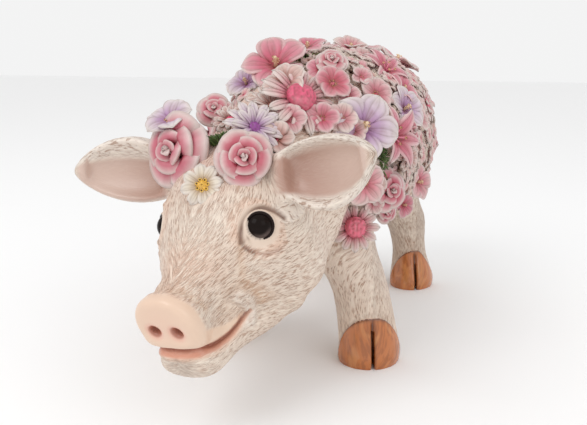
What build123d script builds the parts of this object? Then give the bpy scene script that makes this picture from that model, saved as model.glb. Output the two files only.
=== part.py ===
from build123d import *
import math
import os

# Pig figurine with a coat of cast flowers. The pig faces -Y and its left side is +X.
# Millimetres. It is laid out about the torso's midplane, with the hooves on z = 0, and moved to the
# centre of its own footprint at the end.

# Torso
torso_length = 140.0
torso_width = 75.0
torso_depth = 81.0
chest_face_y = -62.0
casting_wall = 4.5
vent_radius = 2.5

# Head
muzzle_reach = 52.0
cheek_width = 57.0
head_height = 58.0
skull_drop = 59.8
skull_forward = 36.3
skull_aside = 6.8
head_yaw_deg = 7.0
head_pitch_deg = 20.5
head_roll_deg = 7.2
nostril_radius = 2.0
nostril_spacing = 8.8
nostril_depth = 4.0
nostril_drop = 5.2
skull_wall = 9.0

# Neck joint
neck_spigot_radius = 18.0
neck_spigot_length = 9.0
glue_gap = 0.15

# Eyes
eye_radius = 4.8
eye_spacing = 38.0
eye_forward = 13.9
eye_rise = 9.8
eye_seam_deg = {1: 180, -1: 0}

# Ears
ear_width = 25.0
ear_cup_depth = 8.5
ear_wall = 3.0
ear_root_aside = 19.0
ear_root_back = 1.0
ear_root_rise = 21.0
ear_tip_aside = 62.0
ear_tip_forward = 5.3
ear_tip_rise = 29.6
ear_lean_deg = 28.0
left_ear_bow = -2.6
right_ear_bow = 1.9
ear_peg_radius = 3.0
ear_peg_start = 5.0
ear_peg_length = 11.0

# Legs and hooves
leg_height = 64.0
leg_overlap = 21.0
foot_width = 25.0
foot_length = 27.0
rear_foot_width = 22.5
front_foot_aside = 30.1
rear_foot_aside = 27.9
right_foot_splay = 10.0
front_foot_y = -48.5
rear_foot_y = 61.0
leg_peg_radius = 4.5
leg_peg_length = 9.0
hoof_toe_height = 19.5
foot_toe_out_deg = 22.0
hoof_pin_radius = 2.0
hoof_pin_length = 4.0
cleft_width = 1.6
cleft_depth = 5.0

# Tail
tail_root_radius = 3.0
tail_tip_radius = 1.3
tail_coil_radius = 6.0
tail_advance = 13.0
tail_turns = 1.15
tail_root_drop = 40.0
tail_sections = 16
tail_uncoiled_share = 0.4
tail_step_share = 0.01
tail_peg_radius = 2.0
tail_peg_length = 6.0

# Flowers, each kind modelled at this radius and then sized
bloom_radius = 10.0
petal_thickness = 1.2
calyx_radius = 3.0
calyx_height = 1.6
seat_gap = 0.12

# Small florets that fill the ground between the flowers
floret_radius = 3.3
floret_thickness = 1.3
floret_eye_radius = 1.0
floret_pitch = 7.6

# Tufts of moss
moss_radius = 4.5
moss_height = 2.6

overrun = 40.0

# Outlines of the cross sections, from the top to the bottom of the right half: width and height shares
round_outline_shares = [
    (0, 1), (0.42, 0.92), (0.77, 0.65), (0.97, 0.22), (0.98, -0.22), (0.8, -0.62), (0.45, -0.9), (0, -1),
]
face_outline_shares = [
    (0, 1), (0.44, 0.93), (0.78, 0.64), (0.96, 0.22), (1, -0.2), (0.91, -0.6), (0.56, -0.9), (0, -1),
]

# Torso stations from the chest to the rump: length, half width, top and bottom shares
torso_station_shares = [
    (0, 0.7, 0.82, 0.17),
    (0.086, 0.86, 0.93, 0.09),
    (0.17, 0.95, 0.98, 0.045),
    (0.336, 1, 1, 0.01),
    (0.55, 1.02, 1, 0),
    (0.757, 1, 0.98, 0.01),
    (0.889, 0.88, 0.91, 0.06),
    (0.963, 0.63, 0.78, 0.17),
    (1, 0.33, 0.64, 0.32),
]

# Head stations from the snout to the nape: reach, half width, top and bottom shares
head_station_shares = [
    (1, 0.38, 0.1, -0.25),
    (0.97, 0.425, 0.12, -0.275),
    (0.9, 0.42, 0.11, -0.285),
    (0.8, 0.36, 0.11, -0.285),
    (0.69, 0.4, 0.15, -0.3),
    (0.54, 0.58, 0.24, -0.34),
    (0.38, 0.78, 0.33, -0.39),
    (0.19, 0.96, 0.42, -0.46),
    (0, 1, 0.48, -0.52),
    (-0.23, 0.97, 0.51, -0.53),
]
jaw_station_shares = [
    (1.0, 0.21, -0.27, -0.37),
    (0.97, 0.32, -0.24, -0.425),
    (0.88, 0.41, -0.2, -0.465),
    (0.76, 0.47, -0.2, -0.46),
    (0.58, 0.57, -0.2, -0.475),
    (0.38, 0.71, -0.2, -0.5),
    (0.15, 0.84, -0.2, -0.55),
]
neck_middle_shares = (0.5, 0.52, 0.54)
head_cavity_from_share = 0.54

# Ear stations from root to tip: length, width, cup depth and wall shares
ear_station_shares = [
    (0, 0.56, 0.5, 1.5),
    (0.16, 0.76, 0.85, 1.2),
    (0.34, 0.97, 1, 1),
    (0.52, 1, 0.95, 0.95),
    (0.7, 0.86, 0.75, 0.9),
    (0.86, 0.58, 0.45, 0.8),
    (0.96, 0.28, 0.2, 0.6),
    (1, 0.1, 0.08, 0.35),
]
ear_scoop_from_share = 0.1
ear_scoop_to_share = 0.9
ear_scoop_margin_share = 0.7
ear_scoop_rise_share = 0.7

# Leg stations from the ground up: height, width and depth shares, then how far in and back they lie
leg_station_shares = {
    "front": [
        (0, 0.97, 0.97, 0, 0),
        (0.05, 1.01, 1.01, 0, 0),
        (0.16, 0.99, 0.95, 0.02, 0.03),
        (0.28, 0.96, 0.88, 0.08, 0.07),
        (0.42, 0.94, 0.9, 0.16, 0.09),
        (0.6, 1.03, 1.02, 0.34, 0.07),
        (0.8, 1.1, 1.18, 0.52, 0.05),
        (1, 0.88, 1.0, 0.72, 0.18),
    ],
    "rear": [
        (0, 0.97, 0.97, 0, 0),
        (0.05, 1.01, 1.01, 0, 0),
        (0.16, 0.93, 0.92, 0.03, 0.05),
        (0.28, 0.8, 0.8, 0.08, 0.1),
        (0.42, 0.82, 0.86, 0.13, 0.12),
        (0.6, 1.0, 1.15, 0.22, 0),
        (0.8, 1.15, 1.4, 0.38, -0.25),
        (1, 0.9, 1.1, 0.52, -0.55),
    ],
}
leg_peg_start_share = 0.62
hoof_back_share = 0.1
cleft_height_share = 0.86

# Flowers by hand: name, kind, radius share, carrier, length share, angle from the top, lean, spin.
# Angles are in degrees, positive to the pig's left; the lean is towards the rump.
flower_seat_shares = [
    ("crown_rose_right", "rose", 1.05, "head", -0.17, -21, 0, 10),
    ("crown_rose_left", "rose", 0.92, "head", 0.05, 25, 0, 40),
    ("crown_star", "star", 0.62, "head", 0.3, 3, 0, 12),
    ("crown_daisy_right", "daisy", 0.75, "head", -0.44, -48, 0, 0),
    ("crown_rosebud", "bud", 0.6, "head", -0.5, -17, 0, 0),
    ("crown_daisy_left", "daisy", 0.9, "head", -0.32, 17, 0, 8),
    ("nape_daisy", "daisy", 0.72, "head", -0.66, 8, 0, 20),
    ("shoulder_blossom_right", "blossom", 0.8, "torso", 0.1, -47, 0, 15),
    ("back_mallow", "mallow", 1.25, "torso", 0.11, -15, 0, 0),
    ("shoulder_daisy", "daisy", 1.15, "torso", 0.08, 15, 0, 5),
    ("back_rosebud", "bud", 0.68, "torso", 0.22, 9, 0, 0),
    ("back_blossom_left", "blossom", 0.5, "torso", 0.12, 30, 0, 30),
    ("back_blossom_top", "blossom", 0.75, "torso", 0.38, -2, 0, 50),
    ("back_lily", "lily", 0.7, "torso", 0.41, 22, 0, 0),
    ("loin_lily", "lily", 0.8, "torso", 0.5, 44, 0, 30),
    ("back_star", "star", 0.5, "torso", 0.25, 32, 0, 0),
    ("shoulder_star", "star", 0.55, "torso", 0.18, 49, 0, 20),
    ("shoulder_blossom_left", "blossom", 1.1, "torso", 0.05, 62, 0, 10),
    ("flank_blossom_high", "blossom", 0.9, "torso", 0.34, 65, 0, 40),
    ("flank_lily", "lily", 0.8, "torso", 0.19, 80, 0, 0),
    ("flank_rose", "rose", 0.85, "torso", 0.13, 107, 0, 30),
    ("flank_mallow", "mallow", 0.8, "torso", 0.5, 110, 0, 0),
    ("flank_bud", "bud", 0.45, "torso", 0.47, 88, 0, 0),
    ("shoulder_bud", "bud", 0.5, "torso", 0.02, 99, 0, 0),
    ("leg_daisy", "daisy", 0.9, "leg", 0.86, 42, 12, 12),
    ("loin_daisy", "daisy", 0.95, "torso", 0.66, 64, 0, 0),
    ("haunch_rose_left", "rose", 0.9, "torso", 0.72, 94, 0, 0),
    ("haunch_blossom_left", "blossom", 0.9, "torso", 0.86, 66, 0, 0),
    ("loin_blossom", "blossom", 0.95, "torso", 0.58, 8, 0, 20),
    ("rump_mallow", "mallow", 0.95, "torso", 0.78, 26, 0, 0),
    ("rump_rose", "rose", 0.95, "torso", 0.76, -22, 0, 0),
    ("rump_daisy", "daisy", 0.9, "torso", 0.84, 0, 38, 0),
    ("shoulder_rose_right", "rose", 0.95, "torso", 0.06, -78, 0, 0),
    ("flank_blossom_right", "blossom", 0.85, "torso", 0.12, -110, 0, 25),
    ("flank_daisy_right", "daisy", 0.95, "torso", 0.26, -60, 0, 0),
    ("flank_mallow_right", "mallow", 0.9, "torso", 0.31, -96, 0, 20),
    ("loin_star_right", "star", 0.85, "torso", 0.42, -36, 0, 0),
    ("loin_rose_right", "rose", 1.0, "torso", 0.49, -72, 0, 20),
    ("haunch_blossom_right", "blossom", 0.95, "torso", 0.67, -52, 0, 0),
    ("haunch_daisy_right", "daisy", 0.9, "torso", 0.7, -90, 0, 0),
]

# Tufts of moss: size share, carrier, length share and angle
moss_seat_shares = [
    (1, "head", -0.24, -7), (0.8, "torso", 0.2, -2), (0.9, "torso", 0.1, 88), (0.8, "torso", 0.6, -22),
    (0.9, "torso", 0.6, 82), (0.9, "torso", 0.2, -30), (0.8, "torso", 0.58, -104),
]
floret_groups = {"left": (38, 118), "top": (-38, 38), "right": (-118, -38)}
floret_first_share = 0.03
floret_last_share = 0.97
floret_reach_share = 0.95
floret_row_phase_share = 2.4
floret_column_phase_share = 1.7
floret_lobes = 5
floret_notch_share = 0.72

# One-ring flowers: petals; reach, rise, sag, notch and shoulder of the petals; their spread; the middle's
# radius and height. All but the count are shares.
bloom_shares = {
    "daisy": (13, 1, 0.34, 0.06, 0.36, 0.83, 0.76, 0.25, 0.26),
    "star": (6, 1, 0.34, 0.08, 0.42, 0.8, 0.72, 0.22, 0.26),
    "blossom": (5, 1, 0.32, 0.08, 0.55, 0.84, 0.72, 0.14, 0.3),
    "mallow": (6, 1, 0.42, 0.08, 0.62, 0.86, 0.74, 0.16, 0.5),
    "lily": (6, 1, 0.75, 0.2, 0.4, 0.7, 0.7, 0.09, 0.6),
    "bud": (5, 0.9, 0.6, 0.16, 0.7, 0.9, 0.7, 0.42, 0.5),
}
boss_neck_share = 0.7071

# Rose: its middle; each ring's petals, reach, rise and turn in degrees; the petals' notch, shoulder
# and spread
rose_middle_shares = (0.15, 0.6)
rose_ring_shares = [
    (5, 1, 0.34, 0),
    (5, 0.76, 0.52, 36),
    (4, 0.53, 0.66, 10),
    (3, 0.33, 0.76, 40),
]
rose_petal_shares = (0.8, 0.93, 0.62)
rose_sag_share = 0.2
floret_sway_share = 0.28


# Heights that follow from the legs and the torso
belly_height = leg_height - leg_overlap
back_height = belly_height + torso_depth
skull_height = back_height - skull_drop
tail_root_height = back_height - tail_root_drop


def torso_height_at(share):
    return belly_height + share * (back_height - belly_height)


def cross_section(plane, half_width, top, bottom, outline_shares):
    """A closed, symmetric outline on a plane, from its half width and its top and bottom heights."""
    middle = (top + bottom) / 2
    half_height = (top - bottom) / 2
    right = [(w * half_width, middle + h * half_height) for w, h in outline_shares]
    left = [(-x, y) for x, y in reversed(right[1:-1])]
    return make_face(plane * Spline(*right, *left, periodic=True))


def torso_body(inset):
    """The torso's outer form, or its cavity where it is inset by the casting wall."""
    sections = []
    for along, wide, high, low in torso_station_shares:
        station_y = chest_face_y + along * torso_length + (1 - 2 * along) * inset
        plane = Plane(origin=(0, station_y, 0), x_dir=(1, 0, 0), z_dir=(0, -1, 0))
        sections.append(
            cross_section(
                plane,
                wide * torso_width / 2 - inset,
                torso_height_at(high) - inset,
                torso_height_at(low) + inset,
                round_outline_shares,
            )
        )
    return loft(sections)


# Head frame: left, back of the skull and crown, about the skull's centre
skull_centre = Vector(-skull_aside, chest_face_y - skull_forward, skull_height)


def turned(direction):
    """A direction rolled, pitched and yawed as the head is."""
    rolled = direction.rotate(Axis.Y, -head_roll_deg)
    return rolled.rotate(Axis.X, head_pitch_deg).rotate(Axis.Z, -head_yaw_deg)


head_left = turned(Vector(1, 0, 0))
head_back = turned(Vector(0, 1, 0))
head_crown = turned(Vector(0, 0, 1))


def head_point(left, back, up):
    return skull_centre + head_left * left + head_back * back + head_crown * up


def head_plane(reach_share):
    origin = head_point(0, -reach_share * muzzle_reach, 0)
    return Plane(origin=origin, x_dir=head_left, z_dir=-head_back)


def head_sections(stations, outline_shares, inset):
    sections = []
    for reach, wide, high, low in stations:
        sections.append(
            cross_section(
                head_plane(reach),
                wide * cheek_width / 2 - inset,
                high * head_height - inset,
                low * head_height + inset,
                outline_shares,
            )
        )
    return sections


def neck_middle_section(inset):
    """The section halfway round the bend from the nape to the chest face."""
    nape_plane = head_plane(head_station_shares[-1][0])
    between, wide_share, tall_share = neck_middle_shares
    chest_middle = Vector(0, chest_face_y, neck_height)
    middle = nape_plane.origin + (chest_middle - nape_plane.origin) * between
    normal = (Vector(0, -1, 0) + nape_plane.z_dir).normalized()
    plane = Plane(origin=middle, x_dir=(1, 0, 0), z_dir=normal)
    tall = tall_share * head_height - inset
    return cross_section(plane, wide_share * cheek_width - inset, tall, -tall, round_outline_shares)


def chest_section():
    along, wide, high, low = torso_station_shares[0]
    plane = Plane(origin=(0, chest_face_y, 0), x_dir=(1, 0, 0), z_dir=(0, -1, 0))
    return cross_section(
        plane, wide * torso_width / 2, torso_height_at(high), torso_height_at(low), round_outline_shares
    )


neck_height = torso_height_at((torso_station_shares[0][2] + torso_station_shares[0][3]) / 2)


def neck_cylinder(radius, start_y, length):
    """A round bar along the neck joint's axis, running back from start_y."""
    plane = Plane(origin=(0, start_y + length / 2, neck_height), z_dir=(0, 1, 0))
    return plane * Cylinder(radius, length)


def head_form():
    skull = head_sections(head_station_shares, face_outline_shares, 0)
    skull += [neck_middle_section(0), chest_section()]
    jaw = head_sections(jaw_station_shares, face_outline_shares, 0)
    return loft(skull) + loft(jaw)


def head_cavity():
    """The hollow behind the brow, and the bore through the neck spigot."""
    stations = [s for s in head_station_shares if s[0] <= head_cavity_from_share]
    sections = head_sections(stations, face_outline_shares, skull_wall) + [neck_middle_section(skull_wall)]
    hollow = loft(sections)
    bore_radius = neck_spigot_radius - casting_wall
    bore_length = neck_spigot_length + (chest_face_y - skull_centre.Y) + overrun
    return hollow + neck_cylinder(bore_radius, skull_centre.Y, bore_length)


def eye_ball(side, radius):
    """An eye, or the ball that cuts its socket, with the ball's seam turned into the skull."""
    place = head_point(side * eye_spacing / 2, -eye_forward, eye_rise)
    return Pos(place) * Rot(0, 0, eye_seam_deg[side]) * Sphere(radius)


def ear_frame(side, bow):
    """Root, tip and the two directions of an ear: across its width, and out of its open side."""
    root = head_point(side * ear_root_aside, ear_root_back, ear_root_rise)
    tip = head_point(side * ear_tip_aside, -ear_tip_forward, ear_tip_rise)
    axis = (tip - root).normalized()
    lean = math.radians(ear_lean_deg)
    across = head_crown * math.cos(lean) + head_back * math.sin(lean)
    across = (across - axis * across.dot(axis)).normalized()
    opening = axis.cross(across).normalized() * side
    return root, tip, axis, across, opening


def ear_section(side, bow, along, half_width, low, high):
    """An ellipse across the ear, between two depths measured out of its open side."""
    root, tip, axis, across, opening = ear_frame(side, bow)
    origin = root + (tip - root) * along + across * (bow * 4 * along * (1 - along))
    plane = Plane(origin=origin + opening * ((low + high) / 2), x_dir=across, z_dir=axis)
    return plane * Ellipse(half_width, (high - low) / 2)


def ear_form(side, bow):
    """A leaf of oval sections, scooped out on its open side."""
    leaf = []
    scoop = []
    for along, wide, cup, thick in ear_station_shares:
        half_width = wide * ear_width / 2
        depth = cup * ear_cup_depth
        wall = thick * ear_wall
        leaf.append(ear_section(side, bow, along, half_width, -depth - wall / 2, wall / 2))
        if ear_scoop_from_share < along < ear_scoop_to_share:
            half_scoop = half_width - ear_scoop_margin_share * wall
            top = ear_scoop_rise_share * depth
            scoop.append(ear_section(side, bow, along, half_scoop, wall / 2 - depth, top))
    return loft(leaf) - loft(scoop)


def ear_peg(side, bow, radius, length):
    root, tip, axis, across, opening = ear_frame(side, bow)
    cup_middle = opening * (-ear_station_shares[0][2] * ear_cup_depth / 2)
    start = root + cup_middle + axis * ear_peg_start
    plane = Plane(origin=start - axis * (length / 2), z_dir=axis)
    return plane * Cylinder(radius, length)


def foot_reach(side, aside):
    """How far from the midplane a foot stands. The right feet are splayed."""
    return aside if side > 0 else aside + right_foot_splay


def leg_axis_point(side, aside, foot_y, station):
    height, wide, deep, inward, back = station
    lean_out = (foot_reach(side, aside) - aside) * (1 - height)
    left = side * (aside + lean_out - inward * foot_width)
    return Vector(left, foot_y + back * foot_length, height * leg_height)


def leg_form(side, aside, foot_y, width, kind):
    """One leg and foot as a single form, before it is split into leg and hoof."""
    sections = []
    for station in leg_station_shares[kind]:
        plane = Plane(origin=leg_axis_point(side, aside, foot_y, station))
        sections.append(plane * Ellipse(station[1] * width / 2, station[2] * foot_length / 2))
    return loft(sections)


def foot_frame(side, aside, foot_y):
    """The foot's own frame on the ground, with its toe turned out."""
    left = side * foot_reach(side, aside)
    return Location((left, foot_y, 0), (0, 0, side * foot_toe_out_deg))


def hoof_split_plane(side, aside, foot_y):
    """The slanting joint face, from the toe's top to the sole near the foot's middle."""
    toe_y = -foot_length / 2
    heel_y = hoof_back_share * foot_length
    slope_deg = math.degrees(math.atan2(hoof_toe_height, heel_y - toe_y))
    middle = Location((0, (toe_y + heel_y) / 2, hoof_toe_height / 2), (-slope_deg, 0, 0))
    return foot_frame(side, aside, foot_y) * middle


def hoof_side(plane):
    """Everything on the toe's side of the split plane."""
    return plane * Pos(0, 0, -overrun / 2) * Box(2 * overrun, 2 * overrun, overrun)


def hoof_pin(plane, radius, length):
    return plane * Cylinder(radius, length)


def cleft_slot(side, aside, foot_y):
    height = cleft_height_share * hoof_toe_height
    centre = Pos(0, cleft_depth - foot_length / 2 - overrun / 2, height / 2)
    return foot_frame(side, aside, foot_y) * centre * Box(cleft_width, overrun, height)


def leg_peg(side, aside, foot_y, kind, radius, length):
    """The dowel that runs from the leg's top up through the torso's wall."""
    height, wide, deep, inward, back = leg_station_shares[kind][-2]
    start = leg_axis_point(side, aside, foot_y, leg_station_shares[kind][-2])
    base = leg_peg_start_share * leg_height
    total = start.Z - base + length
    return Pos(start.X, start.Y, base + total / 2) * Cylinder(radius, total)


def tail_centre(share):
    """A curl that leaves the rump straight and winds as it goes back."""
    angle = 2 * math.pi * tail_turns * share
    radius = tail_coil_radius * min(1, share / tail_uncoiled_share)
    root_y = chest_face_y + torso_length
    drop = radius * (1 - math.cos(angle))
    return Vector(radius * math.sin(angle), root_y + tail_advance * share, tail_root_height - drop)


def tail_form():
    sections = []
    x_dir = Vector(1, 0, 0)
    for i in range(tail_sections + 1):
        share = i / tail_sections
        ahead = tail_centre(share + tail_step_share) - tail_centre(share)
        if i == 0:
            ahead = Vector(0, 1, 0)
        along = ahead.normalized()
        x_dir = (x_dir - along * x_dir.dot(along)).normalized()
        radius = tail_root_radius + (tail_tip_radius - tail_root_radius) * share
        sections.append(Plane(origin=tail_centre(share), x_dir=x_dir, z_dir=along) * Circle(radius))
    return loft(sections)


def tail_peg(radius, length):
    root_y = chest_face_y + torso_length
    plane = Plane(origin=(0, root_y - length / 2, tail_root_height), z_dir=(0, 1, 0))
    return plane * Cylinder(radius, length)


def petal_outline(radius, petals, notch_share, shoulder_share, spread_share):
    """A flower seen from above: petals with straight flanks and round or pointed ends."""
    step = 2 * math.pi / petals

    def at(reach, angle):
        return (reach * math.cos(angle), reach * math.sin(angle))

    edges = []
    for i in range(petals):
        middle = i * step
        flank = spread_share * step / 2
        notch_before = at(notch_share * radius, middle - step / 2)
        notch_after = at(notch_share * radius, middle + step / 2)
        shoulder_before = at(shoulder_share * radius, middle - flank)
        shoulder_after = at(shoulder_share * radius, middle + flank)
        edges.append(Line(notch_before, shoulder_before))
        edges.append(ThreePointArc(shoulder_before, at(radius, middle), shoulder_after))
        edges.append(Line(shoulder_after, notch_after))
    return make_face(edges)


def bowl(radius, foot, rise, sag):
    """A thin round dish that rises from its foot to its rim."""
    half = radius / 2
    dip = foot + rise / 2 - sag
    under = ThreePointArc((0, 0, foot), (half, 0, dip), (radius, 0, foot + rise))
    over = ThreePointArc(
        (0, 0, foot + petal_thickness),
        (half, 0, dip + petal_thickness),
        (radius, 0, foot + rise + petal_thickness),
    )
    section = make_face([under, Line(under @ 1, over @ 1), over, Line(over @ 0, under @ 0)])
    return revolve(section, Axis.Z, 360)


def corolla(radius, rise, sag, petals, notch_share, shoulder_share, spread_share, spin):
    outline = petal_outline(radius, petals, notch_share, shoulder_share, spread_share)
    dish = bowl(radius, calyx_height - glue_gap, rise, sag)
    return dish & (Rot(0, 0, spin) * extrude(outline, overrun))


def calyx(height):
    return Pos(0, 0, height / 2) * Cylinder(calyx_radius, height)


def boss(radius, height):
    """A domed centre that stands up from the calyx."""
    neck = Pos(0, 0, height / 2) * Cylinder(boss_neck_share * radius, height)
    return neck + Pos(0, 0, height) * Sphere(radius)


def bloom(kind):
    """One ring of petals round a domed middle."""
    petals, reach, rise, sag, notch, shoulder, spread, middle, height = bloom_shares[kind]
    radius = reach * bloom_radius
    ring = corolla(radius, rise * bloom_radius, sag * bloom_radius, petals, notch, shoulder, spread, 0)
    return ring + calyx(calyx_height) + boss(middle * bloom_radius, height * bloom_radius)


def rose():
    """Cups of petals, each steeper than the one round it, about a bud."""
    middle, height = rose_middle_shares
    notch, shoulder, spread = rose_petal_shares
    whole = calyx(calyx_height) + boss(middle * bloom_radius, height * bloom_radius)
    for petals, reach, rise_share, spin in rose_ring_shares:
        rise = rise_share * bloom_radius
        sag = rose_sag_share * rise
        whole += corolla(reach * bloom_radius, rise, sag, petals, notch, shoulder, spread, spin)
    return whole


def floret():
    """A low five-lobed floret with a round eye."""
    step = 2 * math.pi / floret_lobes
    notch = floret_notch_share * floret_radius
    edges = []
    for i in range(floret_lobes):
        start = (notch * math.cos(i * step), notch * math.sin(i * step))
        turn = i * step + step / 2
        middle = (floret_radius * math.cos(turn), floret_radius * math.sin(turn))
        end = (notch * math.cos((i + 1) * step), notch * math.sin((i + 1) * step))
        edges.append(ThreePointArc(start, middle, end))
    plate = extrude(make_face(edges), floret_thickness)
    return plate + Pos(0, 0, floret_thickness) * Sphere(floret_eye_radius)


def moss_tuft():
    """A low mound of moss with a lobed edge."""
    mound = Sphere(moss_radius)
    flat = scale(mound, by=(1, 1, moss_height / moss_radius))
    return split(flat, Plane.XY, keep=Keep.TOP)


flower_makers = {kind: (lambda kind=kind: bloom(kind)) for kind in bloom_shares}
flower_makers["rose"] = rose


def surface_seat(carrier, origin, direction, spin):
    """The plane that lies on a carrier's surface where a line from inside it comes out."""
    hits = carrier.find_intersection_points(Axis(origin, direction))
    point, normal = max(hits, key=lambda hit: (hit[0] - origin).dot(direction))
    if normal.dot(direction) < 0:
        normal = -normal
    level = Vector(0, 0, 1).cross(normal)
    x_dir = level.normalized().rotate(Axis((0, 0, 0), normal), spin)
    return Plane(origin=point + normal * seat_gap, x_dir=x_dir, z_dir=normal)


def torso_seat(torso, share, angle_deg, lean_deg, spin):
    angle = math.radians(angle_deg)
    lean = math.radians(lean_deg)
    origin = Vector(0, chest_face_y + share * torso_length, (belly_height + back_height) / 2)
    direction = Vector(math.sin(angle) * math.cos(lean), math.sin(lean), math.cos(angle) * math.cos(lean))
    return surface_seat(torso, origin, direction, spin)


def head_seat(head, share, angle_deg, lean_deg, spin):
    angle = math.radians(angle_deg)
    lean = math.radians(lean_deg)
    origin = head_point(0, -share * muzzle_reach, 0)
    sideways = head_left * (math.sin(angle) * math.cos(lean))
    direction = sideways + head_crown * (math.cos(angle) * math.cos(lean)) + head_back * math.sin(lean)
    return surface_seat(head, origin, direction, spin)


def leg_seat(leg, share, angle_deg, lean_deg, spin):
    """A seat on the front left leg, at a share of its height and an angle round it from the front."""
    stations = leg_station_shares["front"]
    station = min(stations, key=lambda row: abs(row[0] - share))
    origin = leg_axis_point(1, front_foot_aside, front_foot_y, station)
    origin = Vector(origin.X, origin.Y, share * leg_height)
    angle = math.radians(angle_deg)
    lean = math.radians(lean_deg)
    direction = Vector(math.sin(angle) * math.cos(lean), -math.cos(angle) * math.cos(lean), math.sin(lean))
    return surface_seat(leg, origin, direction, spin)


def seat_on(carriers, carrier, share, angle, lean=0, spin=0):
    if carrier == "head":
        return head_seat(carriers["head"], share, angle, lean, spin)
    if carrier == "leg":
        return leg_seat(carriers["leg"], share, angle, lean, spin)
    return torso_seat(carriers["torso"], share, angle, lean, spin)


def floret_seats(carriers, taken, lowest, highest):
    """Seats on a leaning grid over one side of the torso, wherever the flowers leave room."""
    seats = []
    girth = torso_width / 2
    span = (floret_last_share - floret_first_share) * torso_length
    rows = max(1, round(span / floret_pitch))
    turn = math.radians(highest - lowest) * girth
    columns = max(1, round(turn / floret_pitch))
    for row in range(rows + 1):
        for column in range(columns + 1):
            phase = floret_row_phase_share * row + floret_column_phase_share * column
            sway = floret_sway_share * math.sin(phase) / rows
            share = floret_first_share + (floret_last_share - floret_first_share) * (row / rows + sway)
            lean_in = (row % 2) / 2
            angle = lowest + (highest - lowest) * (column + lean_in) / (columns + 1)
            seat = seat_on(carriers, "torso", min(share, floret_last_share), angle)
            room = [
                (seat.origin - centre).length - floret_reach_share * radius - floret_radius
                for centre, radius in taken
            ]
            if min(room) > 0:
                seats.append(seat)
                taken.append((seat.origin, floret_radius))
    return seats


def body_parts(torso_solid, head_solid):
    """The castings, eyes, ears, legs, hooves and tail."""
    parts = {}
    neck_start = chest_face_y - casting_wall
    neck_run = neck_spigot_length + casting_wall
    torso = torso_solid - torso_body(casting_wall)
    torso -= neck_cylinder(neck_spigot_radius + glue_gap, neck_start, neck_run)
    torso -= Pos(0, 0, belly_height) * Cylinder(vent_radius, overrun)
    torso -= tail_peg(tail_peg_radius + glue_gap, tail_peg_length + glue_gap)
    parts["tail"] = tail_form() + tail_peg(tail_peg_radius, tail_peg_length)
    head = head_solid
    for side, name in ((1, "left"), (-1, "right")):
        head -= eye_ball(side, eye_radius + glue_gap)
        parts[f"{name}_eye"] = eye_ball(side, eye_radius)
    for side, name in ((1, "left"), (-1, "right")):
        bow = left_ear_bow if side > 0 else right_ear_bow
        peg = ear_peg(side, bow, ear_peg_radius, ear_peg_length)
        parts[f"{name}_ear"] = (ear_form(side, bow) - head_solid) + peg
        head -= ear_peg(side, bow, ear_peg_radius + glue_gap, ear_peg_length + glue_gap)
        nostril = head_plane(1) * Pos(side * nostril_spacing / 2, -nostril_drop, 0)
        head -= nostril * Cylinder(nostril_radius, 2 * nostril_depth)
    head += neck_cylinder(neck_spigot_radius, neck_start, neck_run)
    head -= head_cavity()
    for end, aside, foot_y, width in (
        ("front", front_foot_aside, front_foot_y, foot_width),
        ("rear", rear_foot_aside, rear_foot_y, rear_foot_width),
    ):
        for side, name in ((1, "left"), (-1, "right")):
            whole = leg_form(side, aside, foot_y, width, end)
            split_plane = hoof_split_plane(side, aside, foot_y)
            toe = hoof_side(split_plane)
            peg = leg_peg(side, aside, foot_y, end, leg_peg_radius, leg_peg_length)
            leg = (whole - torso_solid - head_solid) - toe + peg
            parts[f"{end}_{name}_leg"] = leg + hoof_pin(split_plane, hoof_pin_radius, hoof_pin_length)
            hoof = whole & toe
            hoof -= hoof_pin(split_plane, hoof_pin_radius + glue_gap, hoof_pin_length + 2 * glue_gap)
            parts[f"{end}_{name}_hoof"] = hoof - cleft_slot(side, aside, foot_y)
            torso -= leg_peg(side, aside, foot_y, end, leg_peg_radius + glue_gap, leg_peg_length + glue_gap)
    parts["torso_casting"] = torso
    parts["head_casting"] = head
    return parts


def flower_parts(torso_solid, head_solid):
    """Every flower in its own seat, then the moss and the florets between them."""
    parts = {}
    leg = leg_form(1, front_foot_aside, front_foot_y, foot_width, "front")
    carriers = {"torso": torso_solid, "head": head_solid, "leg": leg}
    makers = {kind: make() for kind, make in flower_makers.items()}
    taken = []
    feet = (("front", front_foot_aside, front_foot_y), ("rear", rear_foot_aside, rear_foot_y))
    for end, aside, foot_y in feet:
        for side in (1, -1):
            leg_top = leg_axis_point(side, aside, foot_y, leg_station_shares[end][-2])
            taken.append((leg_top, foot_length))
    for name, kind, size_share, carrier, share, angle, lean, spin in flower_seat_shares:
        seat = seat_on(carriers, carrier, share, angle, lean, spin)
        parts[name] = seat.location * scale(makers[kind], by=size_share)
        taken.append((seat.origin, size_share * bloom_radius))
    tufts = []
    for size_share, carrier, share, angle in moss_seat_shares:
        seat = seat_on(carriers, carrier, share, angle)
        tufts.append(seat.location * scale(moss_tuft(), by=size_share))
        taken.append((seat.origin, size_share * moss_radius))
    parts["moss_tufts"] = Compound(children=tufts)
    small = floret()
    for group, (lowest, highest) in floret_groups.items():
        seats = floret_seats(carriers, taken, lowest, highest)
        parts[f"florets_{group}"] = Compound(children=[seat.location * small for seat in seats])
    return parts


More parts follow.
